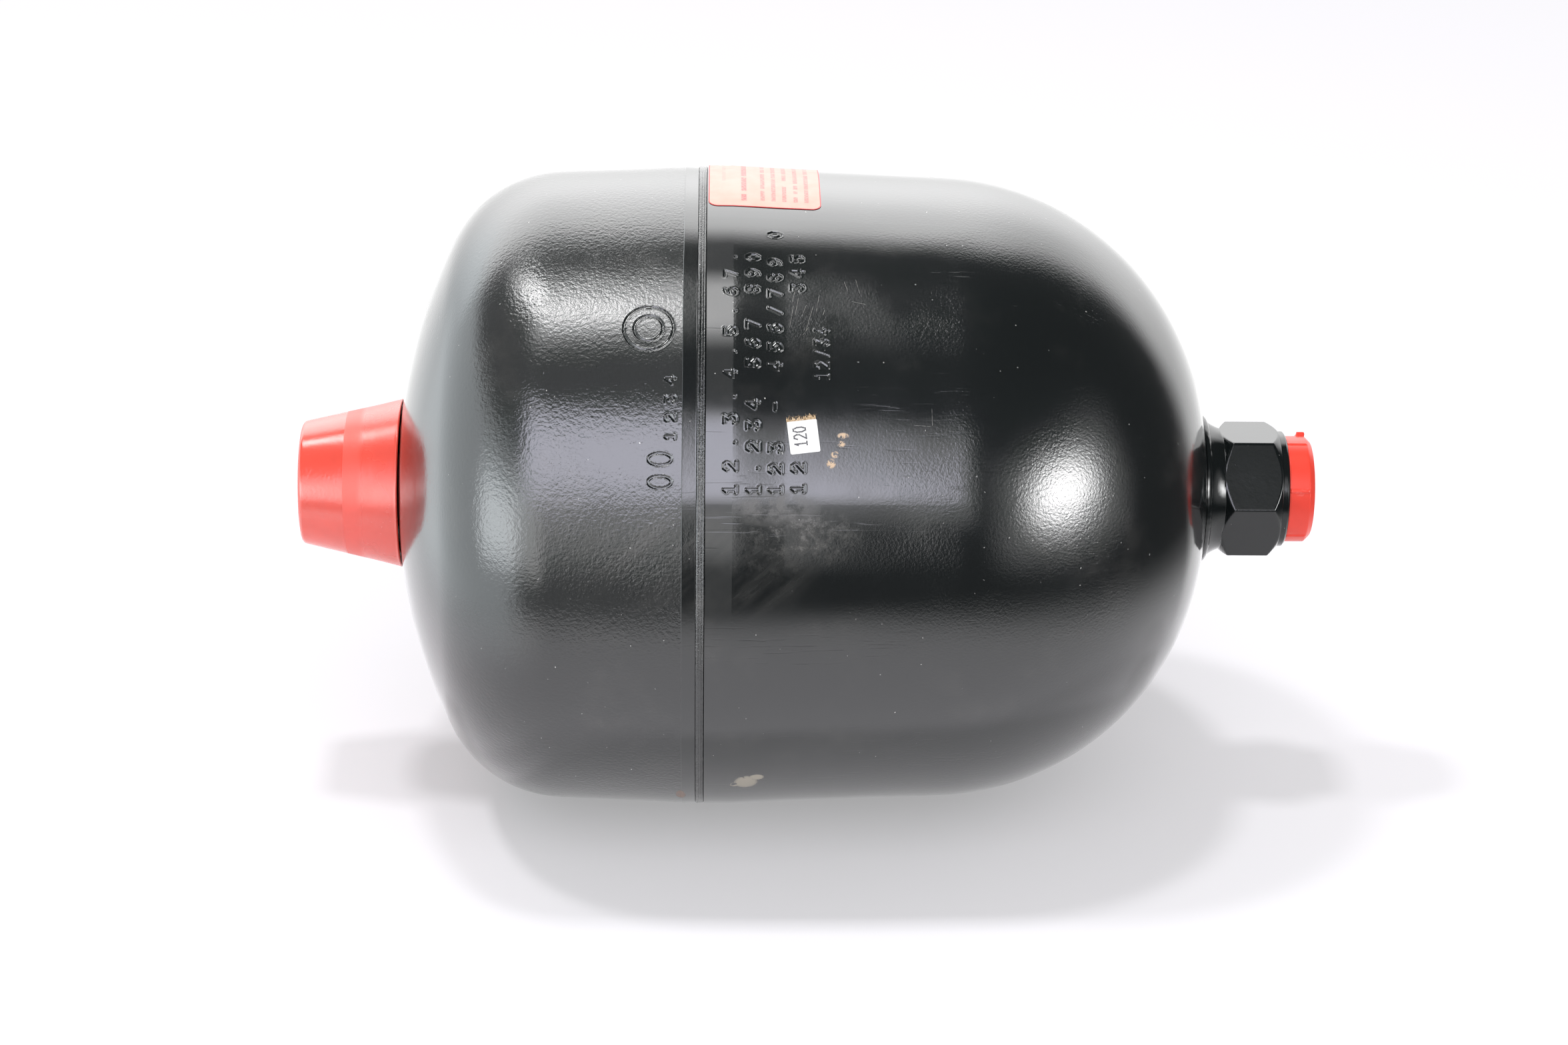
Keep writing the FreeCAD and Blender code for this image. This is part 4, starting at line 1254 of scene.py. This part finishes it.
def sheet_points(form, u_middle, clock, width, length, corner, turn_by, steps, lift):
    """Grid of points of a rounded sheet that is wrapped on a shell, sizes in mm."""
    half_width, half_length = width / 2, length / 2
    across = np.linspace(-1, 1, steps[0])
    across = np.sign(across) * (1 - (1 - np.abs(across)) ** 1.35) * half_width
    inset = np.clip(np.abs(across) - (half_width - corner), 0, corner)
    reach = half_length - corner + np.sqrt(np.maximum(corner ** 2 - inset ** 2, 0))
    along = np.linspace(-1, 1, steps[1])[None, :] * reach[:, None]
    across = np.repeat(across[:, None], steps[1], 1)
    c, s = math.cos(turn_by), math.sin(turn_by)
    u = u_middle + across * c - along * s
    arc = across * s + along * c
    radius = form.wall_radius(u) + lift
    angle = np.radians(clock) + arc / wrap_radius
    return np.stack([seam_x + form.side * u, -radius * np.cos(angle), radius * np.sin(angle)], -1)


def sheet_mesh(name, **place):
    """Closed thin solid between two wrapped grids."""
    top = sheet_points(lift=film_lift + film_thickness, **place)
    under = sheet_points(lift=film_lift, **place)
    rows, columns = top.shape[:2]
    mesh = bpy.data.meshes.new(name)
    points = np.concatenate([top.reshape(-1, 3), under.reshape(-1, 3)]) * mm
    i, j = np.meshgrid(np.arange(rows - 1), np.arange(columns - 1), indexing="ij")
    a = (i * columns + j).ravel()
    faces = np.stack([a, a + columns, a + columns + 1, a + 1], 1)
    low = rows * columns
    rim = [r * columns for r in range(rows)]
    rim += [(rows - 1) * columns + c for c in range(1, columns)]
    rim += [r * columns + columns - 1 for r in range(rows - 2, -1, -1)]
    rim += [c for c in range(columns - 2, 0, -1)]
    walls = [(p, p + low, q + low, q) for p, q in zip(rim, rim[1:] + rim[:1])]
    mesh.from_pydata(points.tolist(), [], faces.tolist() + (faces[:, ::-1] + low).tolist() + walls)
    repaired(mesh).shade_smooth()
    mesh.set_sharp_from_angle(angle=math.radians(35))
    return mesh


# %% [markdown]
# ## Label on top
# Most of the red-edged label lies over the top of the vessel. It is a printed film, stuck on after painting.
# Its print is made from bands along the axis, broken into dashes of uneven length that stand for words. It
# is worked out from the place on the sheet, so it needs no image.
# %% Label
label_width, label_length, label_corner = 28.9, 72.0, 2.5
label_middle = weld_half + 0.3 + label_width / 2
label_clock = 103.8
label_form = dict(
    form=fluid_end, u_middle=label_middle, clock=label_clock, width=label_width, length=label_length,
    corner=label_corner, turn_by=0.0, steps=(60, 90),
)
label_mesh = sheet_mesh("data_label_film", **label_form)
label_finish, label_shader, place = new_finish("printed_film", (0.86, 0.43, 0.35), 0.32)
x, angle = along_and_angle(place)
across = x * 1000.0 - (seam_x + label_middle)
along = (angle * math.degrees(1.0) - label_clock) * (math.radians(1.0) * band_radius)
printed = 0.0
small_print = [(left, 1.35, 0.66, 3.4) for left in (-141.0, -138.2, -135.4, -132.5, -129.7)]
for left, width, ink, first in ((-145.8, 1.6, 0.85, 3.0), *small_print, (-151.0, 1.2, 0.25, 16.0)):
    line = (across - (left - seam_x - label_middle)).size().ramp(width / 2, width / 2 - 0.25)
    seed = (left * 7.3) % 50.0
    pace = place.node("ShaderNodeCombineXYZ", None, {"X": along * 0.36 + seed, "Y": seed})
    word = pace.noise(1.0, 0.0).ramp(0.33, 0.36)
    letter_pace = place.node("ShaderNodeCombineXYZ", None, {"X": along * 3.0 + seed, "Y": across * 1.4 + seed})
    letters = letter_pace.noise(1.0, 0.0).ramp(0.36, 0.52) * 0.6 + 0.4
    starts = along.ramp(first - label_length / 2 - 0.1, first - label_length / 2 + 0.1)
    ends = along.ramp(label_length / 2 - 4.0, label_length / 2 - 4.3)
    printed = line * word * letters * starts * ends * ink + printed
edge_across = (across.size() - (label_width / 2 - label_corner)).most(0.0)
edge_along = (along.size() - (label_length / 2 - label_corner)).most(0.0)
edge = (edge_across * edge_across + edge_along * edge_along).root()
border = edge.ramp(label_corner - 0.34, label_corner - 0.26)
grain = place.noise(300.0, 3.0)
film = grain.ramp(0.3, 0.7).mixed((0.86, 0.43, 0.35, 1.0), (0.82, 0.39, 0.31, 1.0))
inked = printed.least(1.0).mixed(film, (0.72, 0.07, 0.08, 1.0))
plug_in(
    label_shader, Base_Color=border.mixed(inked, (0.70, 0.04, 0.04, 1.0)), Roughness=0.30 + grain * 0.12,
    Normal=bumped(place, place.noise(90.0, 2.0) * 60e-6 + grain * 6e-6),
)
shown(label_mesh, label_finish, "vessel", "data_label")

# %% [markdown]
# ## Pressure sticker
# The small white sticker gives the gas precharge as a number. It was stuck on by hand, so it sits a little
# askew, and its coated paper is almost even.
# %% Sticker
sticker_middle, sticker_clock, sticker_tilt = 25.3, 31.0, math.radians(7.2)
sticker_form = dict(
    form=fluid_end, u_middle=sticker_middle, clock=sticker_clock, width=7.4, length=8.4, corner=0.3,
    turn_by=sticker_tilt, steps=(16, 18),
)
sticker_finish, sticker_shader, place = new_finish("white_sticker", (0.84, 0.84, 0.82), 0.45)
fibres = place.noise(1500.0, 4.0, 0.7)
tone = place.noise(260.0, 3.0, 0.6).ramp(0.35, 0.75)
plug_in(
    sticker_shader, Base_Color=tone.mixed((0.86, 0.86, 0.85, 1.0), (0.80, 0.80, 0.78, 1.0)),
    Roughness=0.42 + fibres * 0.15, Normal=bumped(place, fibres * 12e-6),
)
sticker_mesh = sheet_mesh("pressure_sticker", **sticker_form)
shown(sticker_mesh, sticker_finish, "vessel", "precharge_sticker")

# %% [markdown]
# The digits are thin raised strokes of ink, in mesh, so that they stay crisp from near. They use the same
# numerals as the stamped rows.
# %% Digits on the sticker
def on_sticker(x, y, lift):
    """Place on the skin of a point of the sticker, which is measured in mm from its middle."""
    c, s = math.cos(sticker_tilt), math.sin(sticker_tilt)
    u, arc = sticker_middle + x * c - y * s, x * s + y * c
    radius = float(fluid_end.wall_radius(u)) + lift
    angle = math.radians(sticker_clock) + arc / wrap_radius
    return ((seam_x + u) * mm, -radius * math.cos(angle) * mm, radius * math.sin(angle) * mm)


def stroke_mesh(name, lines, half_width, lift, thickness):
    """Flat strokes with thickness: one block for each straight piece, its ends on the line's joints."""
    points, faces = [], []
    for line in lines:
        for (ax, ay), (bx, by) in zip(line, line[1:]):
            length = math.hypot(bx - ax, by - ay)
            dx, dy = (bx - ax) / length * half_width, (by - ay) / length * half_width
            corners = [
                (ax - dx + dy, ay - dy - dx), (bx + dx + dy, by + dy - dx),
                (bx + dx - dy, by + dy + dx), (ax - dx - dy, ay - dy + dx),
            ]
            first = len(points)
            points += [on_sticker(x, y, lift) for x, y in corners]
            points += [on_sticker(x, y, lift + thickness) for x, y in corners]
            faces += [tuple(first + k for k in face) for face in (
                (3, 2, 1, 0), (4, 5, 6, 7), (0, 1, 5, 4), (1, 2, 6, 5), (2, 3, 7, 6), (3, 0, 4, 7),
            )]
    mesh = bpy.data.meshes.new(name)
    mesh.from_pydata(points, [], faces)
    return repaired(mesh)


ink_finish, ink_shader, place = new_finish("sticker_ink", (0.10, 0.10, 0.11), 0.5)
worn_ink = place.noise(2600.0, 3.0, 0.7).ramp(0.50, 0.72)
plug_in(ink_shader, Base_Color=worn_ink.mixed((0.09, 0.09, 0.10, 1.0), (0.42, 0.42, 0.42, 1.0)))
digit_base, digit_height, digit_pitch, digit_width = 0.65, 3.0, 1.8, 1.15
ink_half_width, ink_thickness = 0.17, 0.012
digit_lines = []
for index, character in enumerate("120"):
    for line in numerals[character]:
        digit_lines.append([
            (digit_base - y * digit_height, (index - 1) * digit_pitch + (x - 0.5) * digit_width)
            for x, y in line
        ])
digits_mesh = stroke_mesh(
    "sticker_digits", digit_lines, ink_half_width, film_lift + film_thickness, ink_thickness,
)
shown(digits_mesh, ink_finish, "vessel")

# %% [markdown]
# A torn strip of an older brown sticker shows above it. Torn paper has a ragged edge with loose fibres. The
# strip is a sheet whose far edge is moved by a sum of waves, and the fibres are tiny slivers that stick out
# of it.
# %% Torn strip
chance = np.random.default_rng(12)
torn_finish, torn_shader, place = new_finish("torn_brown_paper", (0.45, 0.31, 0.17), 0.8)
pulp = place.noise(2200.0, 5.0, 0.7)
plug_in(
    torn_shader, Base_Color=pulp.ramp(0.35, 0.7).mixed((0.30, 0.19, 0.09, 1.0), (0.72, 0.56, 0.38, 1.0)),
    Roughness=0.7 + pulp * 0.2, Normal=bumped(place, pulp * 60e-6),
)
strip_points, strip_faces = [], []
columns, strip_top, fibre_foot = 60, 0.16, 0.06
for index in range(columns + 1):
    x = -3.75 + 7.3 * index / columns
    ragged = 0.42 + 0.30 * math.sin(index * 0.55) + 0.22 * math.sin(index * 1.43 + 1.0)
    ragged += 0.16 * math.sin(index * 2.9)
    ragged = max(0.08, ragged + (0.55 if index > 36 else 0.0) * math.sin((index - 36) / 24 * math.pi))
    for lift in (film_lift, strip_top):
        strip_points += [on_sticker(x, 4.05, lift), on_sticker(x, 4.25 + ragged, lift)]
for index in range(columns):
    strip_faces += [
        tuple(index * 4 + k for k in face) for face in ((2, 3, 7, 6), (0, 4, 5, 1), (1, 5, 7, 3), (0, 2, 6, 4))
    ]
last = columns * 4
strip_faces += [(0, 1, 3, 2), (last, last + 2, last + 3, last + 1)]
for _ in range(70):
    x = chance.uniform(-3.6, 3.4)
    y = 4.35 + chance.uniform(0.0, 0.75)
    tilt, length, width = chance.uniform(-1.2, 1.2), chance.uniform(0.25, 0.9), chance.uniform(0.03, 0.07)
    dx, dy = math.sin(tilt) * length, math.cos(tilt) * length
    lift = chance.uniform(0.10, 0.28)
    first = len(strip_points)
    strip_points += [
        on_sticker(x - width, y, fibre_foot), on_sticker(x + width, y, fibre_foot),
        on_sticker(x + dx, y + dy, lift), on_sticker(x, y, fibre_foot + width * 2),
    ]
    strip_faces += [tuple(first + k for k in face) for face in ((0, 1, 2), (1, 3, 2), (3, 0, 2), (0, 3, 1))]
torn_mesh = bpy.data.meshes.new("torn_strip")
torn_mesh.from_pydata(strip_points, [], strip_faces)
shown(repaired(torn_mesh), torn_finish, "vessel", "paper_scrap")

# %% [markdown]
# ## Finishes of the inner parts
# The clamp ring, the button, the screw and its seal keep the measured model's meshes, because they are plain
# turned shapes. They only get their finishes here: steel with fine turning marks, and dusty rubber.
# %% Steel and rubber
def steel(name, colour, roughness, turning):
    """Machined steel with fine turning marks round the axis; turning is the bump's height in micrometres."""
    material, shader, place = new_finish(name, colour, roughness, metallic=1.0)
    x, y, z = place.parts()
    radius = (y * y + z * z).root()
    rings = place.node("ShaderNodeCombineXYZ", None, {"X": x, "Y": radius})
    grooves = rings.noise(5200.0, 2.0, 0.6)
    stains = place.noise(90.0, 4.0, 0.6).ramp(0.4, 0.75)
    darker = tuple(0.72 * part for part in colour)
    plug_in(
        shader, Base_Color=stains.mixed((*colour, 1.0), (*darker, 1.0)), Roughness=roughness + stains * 0.15,
        Normal=bumped(place, grooves * turning * 1e-6),
    )
    return material


def rubber(name):
    """Black moulded rubber with a dusty bloom."""
    material, shader, place = new_finish(name, (0.02, 0.02, 0.02), 0.62)
    grain = place.noise(900.0, 4.0, 0.6)
    bloom = place.noise(70.0, 4.0, 0.65).ramp(0.45, 0.8) * 0.35
    plug_in(
        shader, Base_Color=bloom.mixed((0.018, 0.018, 0.018, 1.0), (0.09, 0.09, 0.088, 1.0)),
        Roughness=0.55 + bloom * 0.5, Normal=bumped(place, grain * 25e-6),
    )
    return material


bare_steel = steel("turned_steel", (0.55, 0.55, 0.55), roughness=0.30, turning=12.0)
plated_steel = steel("zinc_plated_steel", (0.70, 0.70, 0.66), roughness=0.26, turning=6.0)
black_rubber = rubber("moulded_rubber")
for node, finish in (
    ("diaphragm_clamp_ring", bare_steel), ("diaphragm_button", bare_steel), ("sealing_screw", plated_steel),
    ("sealing_screw_o_ring", black_rubber),
):
    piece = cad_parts[node]
    piece.data.materials.clear()
    piece.data.materials.append(finish)
    print("%-24s %s" % (node, finish.name))

# %% [markdown]
# ## Diaphragm
# Inside lies a moulded rubber bag that is clamped at its rim and pressed against the fluid end. When fluid
# comes in it rolls over and follows its metal button. Here it is built at rest, as a finer lathe than the
# measured one, with low moulded rings.
#
# The bag's section follows the shell's inner skin at a small gap. Its rim is a thick bead, and the middle is
# a boss with a hole for the button's stem. Low rings on its gas side stiffen it.
# %% Diaphragm mesh
bag_outside = shell_wall + 0.3
bag_inside = bag_outside + 3.0
bead_start, bead_end, bead_outer, bead_inner = 5.0, 13.0, 78.4, 72.5
pocket_x, boss_x = seam_x + 121.55, seam_x + 118.55
pocket_radius, stem_hole, boss_edge = 17.1, 7.1, 23.0


def bag_line(inset, first_u, last_radius):
    """One side of the bag, from its bead to the boss."""
    return np.concatenate([
        fluid_end.wall(np.linspace(first_u, fluid_end.wall_end, 12, endpoint=False), inset),
        fluid_end.knuckle_arc(1.5, inset), fluid_end.crown_arc(1.5, last_radius, inset),
    ])


inner_line = bag_line(bag_inside, bead_end + 1.2, boss_edge)
run = np.concatenate([[0.0], np.cumsum(np.hypot(*np.diff(inner_line, axis=0).T))])
ring_pitch, ring_width, ring_height = 12.0, 1.6, 0.45
ring_count = (run - 20.0) / ring_pitch
from_ring = np.abs(ring_count - np.round(ring_count)) * ring_pitch
on_rings = np.clip(1.0 - (from_ring / ring_width) ** 2, 0.0, 1.0) * (run > 14.0) * (run < run[-1] - 8.0)
inner_line[:, 1] -= on_rings * ring_height
bag_section = section_of([
    (seam_x + bead_start, bead_inner, 0.8), (seam_x + bead_start, bead_outer, 0.8),
    (seam_x + bead_end, bead_outer, 0.3),
    *((x, radius, 0.0) for x, radius in bag_line(bag_outside, bead_end, pocket_radius)),
    (pocket_x, pocket_radius, 0.2), (pocket_x, stem_hole, 0.3), (boss_x, stem_hole, 0.3),
    (boss_x, boss_edge, 0.8),
    *((x, radius, 0.0) for x, radius in inner_line[::-1]), (seam_x + bead_end, bead_inner, 0.3),
], 2.0)
bag_mesh = turned("rubber_diaphragm", bag_section, spread((0.0, 360.0, 2.4)))
bag = shown(bag_mesh, black_rubber, None, "diaphragm")
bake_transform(bag)
